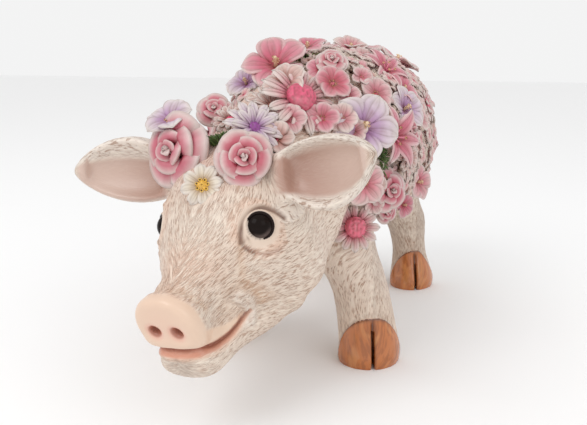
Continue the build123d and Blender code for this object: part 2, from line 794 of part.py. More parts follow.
def build():
    torso_solid = torso_body(0)
    head_solid = head_form()
    parts = body_parts(torso_solid, head_solid)
    parts.update(flower_parts(torso_solid, head_solid))
    boxes = [shape.bounding_box() for shape in parts.values()]
    left = max(box.max.X for box in boxes)
    right = min(box.min.X for box in boxes)
    rear = max(box.max.Y for box in boxes)
    front = min(box.min.Y for box in boxes)
    ground = min(box.min.Z for box in boxes)
    shift = Vector(-(left + right) / 2, -(front + rear) / 2, -ground)
    print("moved by", shift.X, shift.Y, shift.Z, "width", left - right, "length", rear - front)
    return {name: shape.moved(Location(shift)) for name, shape in parts.items()}


if __name__ == "__main__":
    os.makedirs("parts", exist_ok=True)
    for name, shape in build().items():
        export_step(shape, f"parts/{name}.step")
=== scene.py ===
import math
import bpy
import numpy as np
from mathutils import Matrix, Vector
from mathutils.bvhtree import BVHTree


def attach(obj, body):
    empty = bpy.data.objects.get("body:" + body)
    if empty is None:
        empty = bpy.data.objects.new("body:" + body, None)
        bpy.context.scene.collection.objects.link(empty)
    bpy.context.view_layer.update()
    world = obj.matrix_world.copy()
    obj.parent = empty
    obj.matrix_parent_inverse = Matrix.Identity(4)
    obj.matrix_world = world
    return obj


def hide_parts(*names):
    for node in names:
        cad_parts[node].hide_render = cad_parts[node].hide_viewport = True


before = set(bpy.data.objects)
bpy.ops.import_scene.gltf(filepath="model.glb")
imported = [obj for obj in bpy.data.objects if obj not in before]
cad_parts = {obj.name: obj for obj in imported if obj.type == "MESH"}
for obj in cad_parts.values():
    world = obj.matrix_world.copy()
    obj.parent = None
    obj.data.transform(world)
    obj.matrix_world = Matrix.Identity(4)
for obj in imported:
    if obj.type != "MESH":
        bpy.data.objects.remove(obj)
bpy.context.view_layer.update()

# The pig figurine, in millimetres until a mesh is made. It faces -Y and its left side is +X.
MM = 0.001

# The photo's camera
camera_place = np.array([110.33, -311.92, 126.80])
camera_focal = 750.0
camera_size = (587, 425)
camera_pitch_deg = 12.152
camera_yaw_deg = 19.2
camera_sensor = 36

# The head's own directions, with its middle
head_middle = np.array([5.29, -69.87, 64.2])
head_left = np.array([0.979, -0.165, 0.118])
head_front = -np.array([0.115, 0.93, 0.35])
head_crown = np.array([-0.167, -0.329, 0.929])
head_axes = np.stack([head_left, head_front, head_crown])

# The trunk's line, out of which the coat's flowers grow
trunk_aside = 12.1
trunk_height = 82
trunk_ends = (-10, 84)

# Voxel sizes
head_voxel = 0.45
torso_voxel = 0.9
leg_voxel = 0.5
tail_voxel = 0.5


def unit(vectors):
    vectors = np.asarray(vectors, float)
    return vectors / np.linalg.norm(vectors, axis=-1, keepdims=True)


def camera_axes():
    pitch, yaw = math.radians(camera_pitch_deg), math.radians(camera_yaw_deg)
    ahead = np.array([-math.sin(yaw) * math.cos(pitch), math.cos(yaw) * math.cos(pitch), -math.sin(pitch)])
    right = np.array([math.cos(yaw), math.sin(yaw), 0])
    return ahead, right, np.cross(ahead, right)


def ray_to(x, y):
    """The direction in which the photo's camera sees one of its points."""
    ahead, right, down = camera_axes()
    step = right * (x - camera_size[0] / 2) + down * (y - camera_size[1] / 2)
    return unit(ahead + step / camera_focal)


# Noise

def hashed(cell, seed):
    """A number from 0 to 1 for each integer cell."""
    n = cell[..., 0] * 73856093 ^ cell[..., 1] * 19349663 ^ cell[..., 2] * 83492791 ^ (seed * 2654435761)
    n = (n ^ (n >> 13)) * 1274126177 & 0x7FFFFFFF
    n = (n ^ (n >> 16)) & 0xFFFFFF
    return n / 0xFFFFFF


def lumps(points, size, seed):
    """Smooth noise from -1 to 1, with lumps of about the given size."""
    p = np.asarray(points, float) / size
    base = np.floor(p).astype(np.int64)
    f = p - base
    f = f * f * (3 - 2 * f)
    total = 0
    for corner in range(8):
        offset = np.array([corner & 1, corner >> 1 & 1, corner >> 2 & 1])
        weight = np.prod(np.where(offset, f, 1 - f), axis=-1)
        total = total + weight * hashed(base + offset, seed)
    return 2 * total - 1


def soft_step(x, low, high):
    t = np.clip((x - low) / (high - low), 0, 1)
    return t * t * (3 - 2 * t)


def bell(distance, width):
    return np.exp(-((distance / width) ** 2))


# Skins: the CAD solids fused and refined

def quad_edges(quads):
    return np.concatenate([quads[:, [i, (i + 1) % 4]] for i in range(4)])


class Skin:
    """A mesh as arrays: points in millimetres, quads, edges and normals."""

    def __init__(self, points, faces, voxel):
        self.points = points
        self.faces = faces
        self.core = faces
        self.voxel = voxel
        pairs = np.unique(np.sort(quad_edges(faces), axis=1), axis=0)
        self.a, self.b = pairs[:, 0], pairs[:, 1]
        self.degree = np.bincount(np.concatenate([self.a, self.b]), minlength=len(points)).astype(float)
        self.refresh()

    def refresh(self):
        p, f = self.points, self.faces
        n = np.cross(p[f[:, 2]] - p[f[:, 0]], p[f[:, 3]] - p[f[:, 1]])
        total = [sum(np.bincount(f[:, i], n[:, k], len(p)) for i in range(4)) for k in range(3)]
        total = np.stack(total, axis=1)
        self.normals = total / np.maximum(np.linalg.norm(total, axis=1, keepdims=True), 1e-12)

    def spread(self, values):
        """Each point's sum over its neighbours."""
        values = np.asarray(values)
        if values.ndim == 1:
            count = len(self.points)
            return np.bincount(self.a, values[self.b], count) + np.bincount(self.b, values[self.a], count)
        return np.stack([self.spread(values[:, k]) for k in range(values.shape[1])], axis=1)

    def blurred(self, values, rounds):
        degree = self.degree if np.ndim(values) == 1 else self.degree[:, None]
        for _ in range(rounds):
            values = 0.4 * values + 0.6 * self.spread(values) / degree
        return values

    def to_neighbours(self):
        return self.spread(self.points) / self.degree[:, None] - self.points

    def smooth(self, rounds, mask=None):
        """Evens out the steps of the voxels and keeps the form."""
        for _ in range(rounds):
            for pull in (0.55, -0.57):
                step = self.to_neighbours()
                if mask is not None:
                    step *= mask[:, None]
                self.points = self.points + pull * step
        self.refresh()

    def soften(self, amount, mask):
        """Rounds off what the mask covers, edges too, by much the same with any size of voxel."""
        for _ in range(round(amount / self.voxel**2)):
            step = self.to_neighbours()
            self.points = self.points + 0.6 * mask[:, None] * step
        self.refresh()

    def push(self, amount):
        """Moves each point along its normal."""
        self.points = self.points + self.normals * np.asarray(amount)[:, None]
        self.refresh()

    def integrate(self, field, rounds):
        """The value whose slope over the surface follows a direction field best."""
        p = self.points
        step = np.einsum("ij,ij->i", (field[self.a] + field[self.b]) / 2, p[self.b] - p[self.a])
        load = np.bincount(self.b, step, len(p)) - np.bincount(self.a, step, len(p))
        x = self.rough_integral(field, step)
        residual = load - (self.degree * x - self.spread(x))
        scaled = residual / self.degree
        way = scaled.copy()
        size = residual @ scaled
        for _ in range(rounds):
            image = self.degree * way - self.spread(way)
            stride = size / max(way @ image, 1e-20)
            x = x + stride * way
            residual = residual - stride * image
            scaled = residual / self.degree
            grown = residual @ scaled
            if grown < 1e-12:
                break
            way = scaled + grown / size * way
            size = grown
        return x

    def rough_integral(self, field, step, cell=5.5):
        """A first guess at integrate(): linear in each cell of the surface, and fitted where cells meet."""
        p = self.points
        widest = np.argmax(np.abs(self.normals), axis=1)
        facing = widest * 2 + (np.take_along_axis(self.normals, widest[:, None], 1)[:, 0] > 0)
        keys = np.concatenate([np.floor(p / cell).astype(int), facing[:, None]], axis=1)
        cells, member = np.unique(keys, axis=0, return_inverse=True)
        member = member.ravel()
        count = len(cells)
        size = np.bincount(member, minlength=count)[:, None]
        slope = np.stack([np.bincount(member, field[:, k], count) for k in range(3)], axis=1) / size
        centre = np.stack([np.bincount(member, p[:, k], count) for k in range(3)], axis=1) / size
        own = np.einsum("ij,ij->i", slope[member], p - centre[member])
        i, j = member[self.a], member[self.b]
        across = i != j
        i, j = i[across], j[across]
        gap = step[across] - (own[self.b][across] - own[self.a][across])
        matrix = np.zeros((count, count))
        for row, column, value in ((i, i, 1), (j, j, 1), (i, j, -1), (j, i, -1)):
            np.add.at(matrix, (row, column), value)
        matrix[np.diag_indices(count)] += 1e-3
        load = np.bincount(j, gap, count) - np.bincount(i, gap, count)
        return np.linalg.solve(matrix, load)[member] + own

    def tree(self):
        return BVHTree.FromPolygons(self.points.tolist(), self.core.tolist())


def coordinates(mesh):
    """A mesh's points, in metres."""
    co = np.empty(len(mesh.vertices) * 3, np.float32)
    mesh.vertices.foreach_get("co", co)
    return co.reshape(-1, 3)


def cad_arrays(name):
    """The points and faces of a CAD node."""
    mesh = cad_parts[name].data
    return coordinates(mesh) / MM, [list(polygon.vertices) for polygon in mesh.polygons]


def ball_arrays(centre, radius, rings=24):
    """A closed ball as points and faces."""
    turns = 2 * rings
    points = [np.array(centre) + (0, 0, radius)]
    for i in range(1, rings):
        for j in range(turns):
            t, a = math.pi * i / rings, 2 * math.pi * j / turns
            way = np.array([math.sin(t) * math.cos(a), math.sin(t) * math.sin(a), math.cos(t)])
            points.append(np.array(centre) + radius * way)
    points.append(np.array(centre) - (0, 0, radius))
    last = len(points) - 1
    faces = []
    for j in range(turns):
        k = (j + 1) % turns
        faces.append([0, 1 + j, 1 + k])
        for i in range(rings - 2):
            a = 1 + i * turns
            faces.append([a + j, a + turns + j, a + turns + k, a + k])
        a = 1 + (rings - 2) * turns
        faces.append([a + j, last, a + k])
    return np.array(points), faces


def joined(shapes):
    """The points and faces of several shapes as those of one."""
    points, faces, start = [], [], 0
    for shape_points, shape_faces in shapes:
        points.append(shape_points)
        faces += [[start + v for v in face] for face in shape_faces]
        start += len(shape_points)
    return np.concatenate(points), faces


def part_labels(count, pairs):
    """For each of count points, one number for each connected part."""
    label = np.arange(count)
    while True:
        low = np.minimum(label[pairs[:, 0]], label[pairs[:, 1]])
        new = label.copy()
        np.minimum.at(new, pairs[:, 0], low)
        np.minimum.at(new, pairs[:, 1], low)
        new = new[new]
        if (new == label).all():
            return label
        label = new


def fused(shapes, voxel):
    """One skin over all these closed shapes, as even quads, without the hollow inside it."""
    points, faces = joined(shapes)
    mesh = bpy.data.meshes.new("form")
    mesh.from_pydata((points * MM).tolist(), [], faces)
    obj = bpy.data.objects.new("form", mesh)
    bpy.context.scene.collection.objects.link(obj)
    remesh = obj.modifiers.new("remesh", "REMESH")
    remesh.mode = "VOXEL"
    remesh.voxel_size = voxel * MM
    ready = bpy.data.meshes.new_from_object(obj.evaluated_get(bpy.context.evaluated_depsgraph_get()))
    co = coordinates(ready).astype(float) / MM
    loops = np.empty(len(ready.loops), np.int32)
    ready.loops.foreach_get("vertex_index", loops)
    quads = loops.reshape(-1, 4)
    bpy.data.objects.remove(obj)
    bpy.data.meshes.remove(mesh)
    bpy.data.meshes.remove(ready)
    label = part_labels(len(co), quad_edges(quads))
    keep = label == label[np.argmax(co[:, 2])]
    index = np.cumsum(keep) - 1
    return Skin(co[keep], index[quads[keep[quads[:, 0]]]], voxel)


def make_object(name, points, faces, material, looks):
    """A smooth mesh object from arrays, with its looks as attributes of the points."""
    mesh = bpy.data.meshes.new(name)
    if isinstance(faces, np.ndarray):
        count, corners = faces.shape
        mesh.vertices.add(len(points))
        mesh.vertices.foreach_set("co", (points * MM).astype(np.float32).ravel())
        mesh.loops.add(count * corners)
        mesh.loops.foreach_set("vertex_index", faces.astype(np.int32).ravel())
        mesh.polygons.add(count)
        mesh.polygons.foreach_set("loop_start", np.arange(0, count * corners, corners, dtype=np.int32))
        mesh.update(calc_edges=True)
        mesh.validate()
    else:
        mesh.from_pydata((points * MM).tolist(), [], faces)
    for key, values in looks.items():
        values = np.asarray(values, np.float32)
        kind, field = ("FLOAT", "value") if values.ndim == 1 else ("FLOAT_VECTOR", "vector")
        mesh.attributes.new(key, kind, "POINT").data.foreach_set(field, values.ravel())
    mesh.polygons.foreach_set("use_smooth", np.full(len(mesh.polygons), True))
    mesh.materials.append(material)
    obj = bpy.data.objects.new(name, mesh)
    bpy.context.scene.collection.objects.link(obj)
    return obj


def dress(obj, slot, *nodes):
    """Says what an object rides on and which CAD nodes it replaces. Its slot is not used."""
    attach(obj, "root")
    if nodes:
        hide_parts(*nodes)


# Materials

# Colours that the materials lay over each point's own
fur_brown = (0.30, 0.15, 0.085)
fur_cream = (0.82, 0.73, 0.62)
petal_brown = (0.20, 0.085, 0.055)
filler_brown = (0.38, 0.24, 0.19)
chalk_white = (0.92, 0.86, 0.80)
# Lighter gold of the painted highlight on the hooves' nails
nail_brown = (0.26, 0.075, 0.02)
nail_highlight_gold = (0.62, 0.27, 0.09)
nail_edge_brown = (0.10, 0.03, 0.015)
floor_grey = (0.94, 0.94, 0.94, 1)


class Graph:
    """Short ways to add nodes to a material."""

    def __init__(self, name):
        self.material = bpy.data.materials.new(name)
        self.material.use_nodes = True
        self.tree = self.material.node_tree
        self.tree.nodes.clear()
        self.shader = self.add("ShaderNodeBsdfPrincipled")
        self.link(self.shader.outputs[0], self.add("ShaderNodeOutputMaterial").inputs[0])

    def add(self, kind, **values):
        node = self.tree.nodes.new(kind)
        for key, value in values.items():
            setattr(node, key, value)
        return node

    def link(self, source, target):
        self.tree.links.new(source, target)

    def put(self, socket, value):
        if isinstance(value, bpy.types.NodeSocket):
            self.link(value, socket)
        else:
            socket.default_value = value

    def attribute(self, name, output="Fac"):
        return self.add("ShaderNodeAttribute", attribute_name=name).outputs[output]

    def noise(self, vector, scale, detail=2, rough=0.5):
        node = self.add("ShaderNodeTexNoise")
        self.link(vector, node.inputs["Vector"])
        for key, number in (("Scale", scale), ("Detail", detail), ("Roughness", rough)):
            node.inputs[key].default_value = number
        return node.outputs["Fac"]

    def streaks(self, vector, across, along, detail, rough=0.5):
        """Noise drawn out along the strokes."""
        node = self.add("ShaderNodeVectorMath", operation="MULTIPLY")
        self.link(vector, node.inputs[0])
        node.inputs[1].default_value = (across, along, 1)
        return self.noise(node.outputs[0], 1.0, detail, rough)

    def math(self, operation, a, b):
        node = self.add("ShaderNodeMath", operation=operation)
        self.put(node.inputs[0], a)
        self.put(node.inputs[1], b)
        return node.outputs[0]

    def times(self, a, b):
        return self.math("MULTIPLY", a, b)

    def spread(self, value, low, high, to_low=0.0, to_high=1.0):
        node = self.add("ShaderNodeMapRange", interpolation_type="SMOOTHSTEP")
        self.put(node.inputs["Value"], value)
        for key, number in (("From Min", low), ("From Max", high), ("To Min", to_low), ("To Max", to_high)):
            self.put(node.inputs[key], number)
        return node.outputs[0]

    def mix(self, share, under, color):
        node = self.add("ShaderNodeMix", data_type="RGBA")
        self.put(node.inputs["Factor"], share)
        self.link(under, node.inputs[6])
        node.inputs[7].default_value = (*color, 1)
        return node.outputs[2]

    def bump(self, height, distance, strength, below=None):
        node = self.add("ShaderNodeBump")
        node.inputs["Distance"].default_value = distance * MM
        node.inputs["Strength"].default_value = strength
        self.link(height, node.inputs["Height"])
        if below is not None:
            self.link(below, node.inputs["Normal"])
        return node.outputs[0]

    def finish(self, color, rough, normal=None, coat=0.0, specular=0.5):
        self.put(self.shader.inputs["Base Color"], color)
        self.put(self.shader.inputs["Roughness"], rough)
        self.put(self.shader.inputs["Specular IOR Level"], specular)
        self.put(self.shader.inputs["Coat Weight"], coat)
        if normal is not None:
            self.link(normal, self.shader.inputs["Normal"])
        return self.material


def fur_material():
    """Cast fur: short raised strokes along the coat's flow, with a brown wash between them."""
    g = Graph("cast_fur")
    stroke, tint = g.attribute("stroke", "Vector"), g.attribute("tint", "Vector")
    furry, wash = g.attribute("furry"), g.attribute("wash")
    clumps = g.streaks(stroke, 0.8, 0.16, 1)
    strokes = g.streaks(stroke, 2.7, 0.36, 2, 0.55)
    fine = g.streaks(stroke, 4.2, 0.5, 1)
    place = g.add("ShaderNodeTexCoord").outputs["Object"]
    blotch = g.noise(place, 75.0)
    speckle = g.noise(place, 900.0, 1)
    coat = g.math("ADD", g.times(strokes, 0.6), g.times(fine, 0.2))
    coat = g.math("ADD", coat, g.times(clumps, 0.2))
    grooves = g.times(g.times(g.spread(coat, 0.485, 0.40), wash), g.spread(blotch, 0.35, 0.6, 0.62, 1.0))
    shade = g.mix(g.times(grooves, 0.82), tint, fur_brown)
    tops = g.times(g.times(g.spread(coat, 0.50, 0.58), furry), g.spread(blotch, 0.6, 0.4, 0.3, 0.62))
    shade = g.mix(tops, shade, fur_cream)
    normal = g.bump(g.times(g.spread(coat, 0.36, 0.62), furry), 0.28, 1.0)
    normal = g.bump(speckle, 0.03, 0.5, normal)
    return g.finish(shade, g.spread(furry, 0.0, 1.0, 0.3, 0.5), normal, 0.06)


def plain_paint(name, rough=0.4, coat=0.1, grain=0.05, brown=petal_brown):
    """Paint whose colour and brown wash the mesh carries."""
    g = Graph(name)
    tint = g.attribute("tint", "Vector")
    wash = g.attribute("wash")
    place = g.add("ShaderNodeTexCoord").outputs["Object"]
    mottle = g.noise(place, 260.0, 3)
    fine = g.noise(place, 700.0)
    shade = g.mix(g.times(wash, g.spread(mottle, 0.3, 0.62, 0.55, 1.0)), tint, brown)
    shade = g.mix(g.spread(mottle, 0.5, 0.75, 0.0, 0.10), shade, chalk_white)
    return g.finish(shade, rough, g.bump(fine, grain, 0.6), coat)


def eye_material():
    g = Graph("eye_gloss")
    return g.finish(g.attribute("tint", "Vector"), 0.05, specular=0.06)


def hoof_material():
    """Amber gloss paint with darker streaks up the nail, and lighter gold streaks that are a painted
    highlight.
    """
    g = Graph("hoof_gloss")
    stroke, tint = g.attribute("stroke", "Vector"), g.attribute("tint", "Vector")
    streaks = g.streaks(stroke, 1.1, 0.1, 3, 0.6)
    highlight_streaks = g.streaks(stroke, 0.35, 0.06, 1)
    shade = g.mix(g.spread(streaks, 0.42, 0.62, 0.0, 0.55), tint, nail_brown)
    # Lighter gold streaks on the glossy nail: a painted highlight
    shade = g.mix(g.spread(highlight_streaks, 0.5, 0.68, 0.0, 0.45), shade, nail_highlight_gold)
    shade = g.mix(g.attribute("wash"), shade, nail_edge_brown)
    return g.finish(shade, 0.24, g.bump(streaks, 0.12, 0.6), 0.6)


# Places on the head, and lines drawn on it

def to_head(points):
    return (np.asarray(points) - head_middle) @ head_axes.T


def from_head(local):
    return head_middle + np.asarray(local) @ head_axes


def path_distance(points, path):
    """Each point's distance to a path, and how far along the path it is, from 0 to 1."""
    lengths = np.linalg.norm(np.diff(path, axis=0), axis=1)
    starts = np.concatenate([[0], np.cumsum(lengths)])
    best = np.full(len(points), 1e9)
    where = np.zeros(len(points))
    for i, (a, b) in enumerate(zip(path[:-1], path[1:])):
        line = b - a
        t = np.clip((points - a) @ line / (line @ line), 0, 1)
        d = np.linalg.norm(points - a - t[:, None] * line, axis=1)
        nearer = d < best
        best[nearer] = d[nearer]
        where[nearer] = (starts[i] + t[nearer] * lengths[i]) / starts[-1]
    return best, where


def smooth_path(path, count):
    """An even curve through some points."""
    path = np.asarray(path, float)
    t = np.concatenate([[0], np.cumsum(np.linalg.norm(np.diff(path, axis=0), axis=1))])
    t /= t[-1]
    dense = np.linspace(0, 1, count)
    out = np.stack([np.interp(dense, t, path[:, k]) for k in range(path.shape[1])], axis=1)
    for _ in range(max(2, count // len(path))):
        out[1:-1] = 0.5 * out[1:-1] + 0.25 * (out[:-2] + out[2:])
    return out


def seen(tree, pixels):
    """Where the photo's camera sees some of its points on a skin."""
    hits = [tree.ray_cast(Vector(camera_place), Vector(ray_to(x, y)))[0] for x, y in pixels]
    return np.array([np.array(hit) for hit in hits if hit is not None])


def mirrored(tree, points):
    """The same places on the head's other side, on its skin."""
    local = to_head(points)
    local[:, 0] = -local[:, 0]
    return np.array([np.array(tree.find_nearest(Vector(p))[0]) for p in from_head(local)])


# The head with its ears

eye_radius = 4.8
eye_aside = {"left": 19.0, "right": -17.6}
eye_ahead, eye_up = 13.9, 9.8
eye_facing = (0.60, 0.70, 0.36)
eye_centres = {name: from_head((aside, eye_ahead, eye_up)) for name, aside in eye_aside.items()}
eye_opening = 4.3
eye_paint_radii = (4.45, 4.2)

# The lid's height from the eye's middle, by the distance from its axis
lid_rings = [0, eye_opening - 0.05, eye_opening + 0.05, 5.2, 6.4]
lid_heights = [3.6, 3.6, 5.15, 5.3, 4.0]
lid_thickness = 0.55
lid_ring_radius = 4.48
lid_ring_thickness = 0.52
lid_ring_forward = 2.45

jowl_place = (22, 3, -15)
jowl_size = 12
jowl_fullness = 3.8
snout_push = 0.7
lips_place = (0, 50, -8)
nostril_aside, nostril_ahead, nostril_up = 4.4, 51.5, -5.2

ear_root = (19.0, -1.0, 21.0)
ear_tip = (62.0, 5.3, 29.6)
ear_lean_deg = 28
ear_reach = 17
ear_rim_roll = 2.38
ear_half_width = 12.5
ear_stations = [0, 0.16, 0.34, 0.52, 0.7, 0.86, 0.96, 1]
ear_width_shares = [0.56, 0.76, 0.97, 1, 0.86, 0.58, 0.28, 0.1]

# Colours of the paint
cream = np.array([0.735, 0.60, 0.50])
peach = (0.74, 0.44, 0.31)
tan = (0.60, 0.38, 0.25)
crown_pink = (0.72, 0.42, 0.36)
throat_tan = (0.66, 0.49, 0.37)
snout_cream = (0.74, 0.555, 0.42)
blush_pink = (0.78, 0.45, 0.36)
lip_peach = (0.78, 0.53, 0.40)
lip_pink = (0.62, 0.26, 0.17)
mouth_brown = (0.36, 0.12, 0.07)
nostril_pink = (0.74, 0.38, 0.30)
nostril_brown = (0.40, 0.15, 0.10)
ear_pink = (0.55, 0.39, 0.33)
ear_brown = (0.38, 0.20, 0.15)
lid_brown = (0.17, 0.08, 0.05)
lid_cream = (0.70, 0.56, 0.455)
outline_black = (0.02, 0.013, 0.012)
eye_black = (0.012, 0.008, 0.007)
eye_back_black = (0.01, 0.007, 0.006)
# Brown of the eye's lower rim: partly the iris, partly a painted highlight
iris_and_highlight_brown = (0.13, 0.095, 0.085)
# White of the ears' rims, also used as the painted highlight on the ridge of the mouth's fold
rim_and_fold_highlight_white = (0.82, 0.75, 0.68)
belly_grey = (0.66, 0.53, 0.46)
coat_brown = (0.50, 0.37, 0.29)
ankle_peach = (0.77, 0.58, 0.44)
calf_grey = (0.62, 0.50, 0.44)
rear_shade = (0.82, 0.80, 0.78)
amber = (0.50, 0.155, 0.035)

# Lines on the photo, in its pixels, that place the face's features on the head
mouth_line = [
    (153, 345), (162, 348.5), (180, 351), (198, 350), (214, 343), (229, 332), (240, 320), (248, 309),
]
mouth_fold = [(238, 297), (246, 300), (251, 309), (249, 320)]
eye_crease = [(241, 243), (240.5, 233), (244, 221), (252, 211), (262, 207), (273, 210), (285, 218)]
lower_crease = [(245, 247), (254, 252), (265, 255), (281, 250)]
tear_duct = [(247, 239), (243.5, 243), (241.5, 246), (246, 249.5), (254, 253)]
face_folds = [
    [(241, 245), (240, 262), (244, 280)],
    [(247, 283), (256, 290), (264, 296)],
    [(172, 291), (190, 296), (205, 307)],
]


def paint_over(tint, share, color):
    return tint + (np.asarray(color) - tint) * share[:, None]


def painted(points, base, layers):
    """Each point's colour: a base under layers of paint, each with its share at each point and its colour."""
    tint = np.tile(base, (len(points), 1))
    for share, color in layers:
        tint = paint_over(tint, share, color)
    return tint


def tangent(field, normals):
    field = field - np.einsum("ij,ij->i", field, normals)[:, None] * normals
    return field / np.maximum(np.linalg.norm(field, axis=1, keepdims=True), 1e-9)


def stroke_map(skin, flow, rounds, half, evening=6):
    """Coordinates across and along the strokes, for the fur. half is 1 and -1 on a limb's two sides."""
    flow = tangent(skin.blurred(tangent(flow, skin.normals), evening), skin.normals)
    across = np.cross(skin.normals, flow) * half[:, None]
    u = skin.integrate(across, rounds)
    v = skin.integrate(flow, rounds)
    return np.stack([u, v, lumps(skin.points, 9, 5) * 2], axis=1)


def stroke_relief(stroke, across, along, seed):
    grid = np.stack([stroke[:, 0] / across, stroke[:, 1] / along, np.zeros(len(stroke))], axis=1)
    return lumps(grid, 1.0, seed)


def make_furred(name, points, faces, material, stroke, furry, wash, tint, slot, *nodes):
    looks = {"stroke": stroke, "furry": furry, "wash": wash, "tint": tint}
    dress(make_object(name, points, faces, material, looks), slot, *nodes)


def mouth_sides(skin):
    """Each point's distance to the mouth's line as the camera sees it, its place along it and its height."""
    local = to_head(skin.points)
    mirror = np.where(local[:, :1] < 0, (-1, 1, 1), (1, 1, 1))
    sight = unit(from_head(local * mirror) - camera_place)
    normals = (skin.normals @ head_axes.T * mirror) @ head_axes
    away = np.einsum("ij,ij->i", normals, sight)
    reach = np.linalg.norm(from_head(lips_place) - camera_place)
    path = unit([ray_to(x, y) for x, y in smooth_path(mouth_line, 60)]) * reach
    gap, where = path_distance(sight * reach, path)
    lengths = np.concatenate([[0], np.cumsum(np.linalg.norm(np.diff(path, axis=0), axis=1))])
    foot = np.stack([np.interp(where * lengths[-1], lengths, path[:, k]) for k in range(3)], axis=1)
    return gap + 6 * soft_step(away, -0.1, 0.1), where, (sight * reach - foot) @ head_crown


def line_gap(skin, tree, line, count):
    """Each point's distance to a line on the photo, or to its mirror image on the head's other side."""
    path = smooth_path(seen(tree, line), count)
    return np.minimum(*(path_distance(skin.points, side)[0] for side in (path, mirrored(tree, path))))


def eye_direction(name):
    aside, ahead, up = eye_facing
    return unit(head_left * (aside if name == "left" else -aside) + head_front * ahead + head_crown * up)


def ear_frame(side):
    """An ear's root, length, axis, breadth and open side, as in the CAD."""
    root, tip = (from_head(np.array(end) * (side, 1, 1)) for end in (ear_root, ear_tip))
    length = np.linalg.norm(tip - root)
    axis = (tip - root) / length
    lean = math.radians(ear_lean_deg)
    across = head_crown * math.cos(lean) - head_front * math.sin(lean)
    across = unit(across - axis * (across @ axis))
    return root, length, axis, across, np.cross(axis, across) * side


def ear_marks(skin):
    """Which points belong to an ear, its hollow, its rim and its front, and where its strokes run."""
    count = len(skin.points)
    marks = {key: np.zeros(count) for key in ("share", "inside", "rim", "along", "front")}
    marks["flow"], marks["roll"] = np.zeros((2, count, 3))
    marks["half"] = np.ones(count)
    marks["root_gap"] = np.full(count, 99.0)
    for side in (1, -1):
        root, length, axis, across, opening = ear_frame(side)
        away = skin.points - root
        along = away @ axis / length
        aside = away @ across
        beyond = np.linalg.norm(away - np.clip(away @ axis, 0, None)[:, None] * axis, axis=1)
        share = soft_step(along, 0.03, 0.16) * (beyond < ear_reach)
        facing = skin.normals @ opening
        half = ear_half_width * np.interp(along, ear_stations, ear_width_shares)
        edge = np.clip(np.abs(aside) / half, 0, 1.2)
        end_wall = 0.9 * np.abs(skin.normals @ axis) * soft_step(facing, -0.3, 0.05)
        inside = share * soft_step(facing + end_wall, 0.2, 0.55) * (1 - soft_step(along, 0.9, 0.98))
        inside = inside * (1 - soft_step(edge, 0.78, 0.95))
        over_rim = soft_step(aside / half, 0.38, 0.66) * soft_step(facing, -0.1, 0.3) * share
        rim = np.maximum(share * soft_step(edge, 0.72, 0.95), over_rim)
        front = share * soft_step(facing, -0.4, 0.1) * soft_step(along, 0.02, 0.1)
        found = (share, inside * (1 - over_rim), rim, share * along, front)
        for key, values in zip(("share", "inside", "rim", "along", "front"), found):
            marks[key] = np.maximum(marks[key], values)
        turned = across * np.sign(aside)[:, None] * 0.35 * edge[:, None]
        marks["flow"] += share[:, None] * (axis + turned)
        marks["roll"] += opening * (ear_rim_roll * over_rim * soft_step(along, 1.0, 0.75))[:, None]
        marks["half"] = np.where(share > 0, np.sign(aside), marks["half"])
        marks["root_gap"] = np.minimum(marks["root_gap"], np.linalg.norm(away, axis=1))
    return marks


def soften_head(skin, ears):
    """Rounds the casting where the CAD's forms meet, rolls the ears' rims and fills out the jowls."""
    local = to_head(skin.points)
    meeting = soft_step(ears["root_gap"], 16, 11) * (1 - ears["share"])
    meeting = np.maximum(meeting, soft_step(local[:, 2], -9, -14) * soft_step(local[:, 1], 30, 20))
    skin.smooth(30, meeting)
    skin.points += ears["roll"]
    skin.soften(14, skin.blurred(ears["front"], 6))
    jaw_end = bell(local[:, 1] - 6, 11) * soft_step(local[:, 2], -6, -13) * (1 - ears["share"])
    skin.soften(40, jaw_end)
    jowl = np.stack([np.abs(local[:, 0]), local[:, 1], local[:, 2]], axis=1) - jowl_place
    skin.push(jowl_fullness * bell(np.linalg.norm(jowl, axis=1), jowl_size))
    snout = soft_step(local[:, 1], 38, 44)
    skin.soften(5, snout)
    skin.points += head_front * (snout_push * snout)[:, None]
    skin.refresh()
    skin.soften(26, bell(mouth_sides(skin)[0], 5) * soft_step(to_head(skin.points)[:, 1], 26, 36))


def open_eyes(skin):
    """Sinks the skin under each eye, raises the lids round it and returns the distance to the eyes' axes."""
    near_eye = np.full(len(skin.points), 1e9)
    for name, centre in eye_centres.items():
        out = eye_direction(name)
        away = skin.points - centre
        gap = np.linalg.norm(away, axis=1)
        depth = away @ out
        ring = np.linalg.norm(away - depth[:, None] * out, axis=1)
        front = depth > 0
        near_eye = np.where(front & (gap < 14), np.minimum(near_eye, ring), near_eye)
        height = np.interp(ring, lid_rings, lid_heights)
        lid = np.maximum(gap, height + lid_thickness * (ring < 6))
        wanted = np.where(ring < eye_opening, height, lid)
        change = front & (gap < 7.5) & (ring < lid_rings[-1])
        moved = centre + away / gap[:, None] * wanted[:, None]
        skin.points = np.where(change[:, None], moved, skin.points)
    skin.refresh()
    return near_eye


def face_flow(skin, local, ears):
    """Where the head's strokes run: back from the snout, round the eyes and out along the ears."""
    flow = np.tile(-head_front, (len(skin.points), 1)).astype(float)
    sideways = np.sign(local[:, 0]) * soft_step(np.abs(local[:, 0]), 2, 20)
    upper = soft_step(local[:, 2], -8, 14)
    behind = soft_step(local[:, 1], 40, 5)
    flow += head_left * (sideways * 0.55 * behind)[:, None]
    flow += head_crown * ((upper * 0.6 - (1 - upper) * 0.35) * behind)[:, None]
    for centre in eye_centres.values():
        away = skin.points - centre
        ring = np.linalg.norm(away, axis=1)
        radial = away / ring[:, None]
        inward = np.einsum("ij,ij->i", flow, radial)
        flow -= (0.7 * bell(ring, 8.0) * inward)[:, None] * radial
    return flow * (1 - ears["share"])[:, None] + ears["flow"] * 1.2


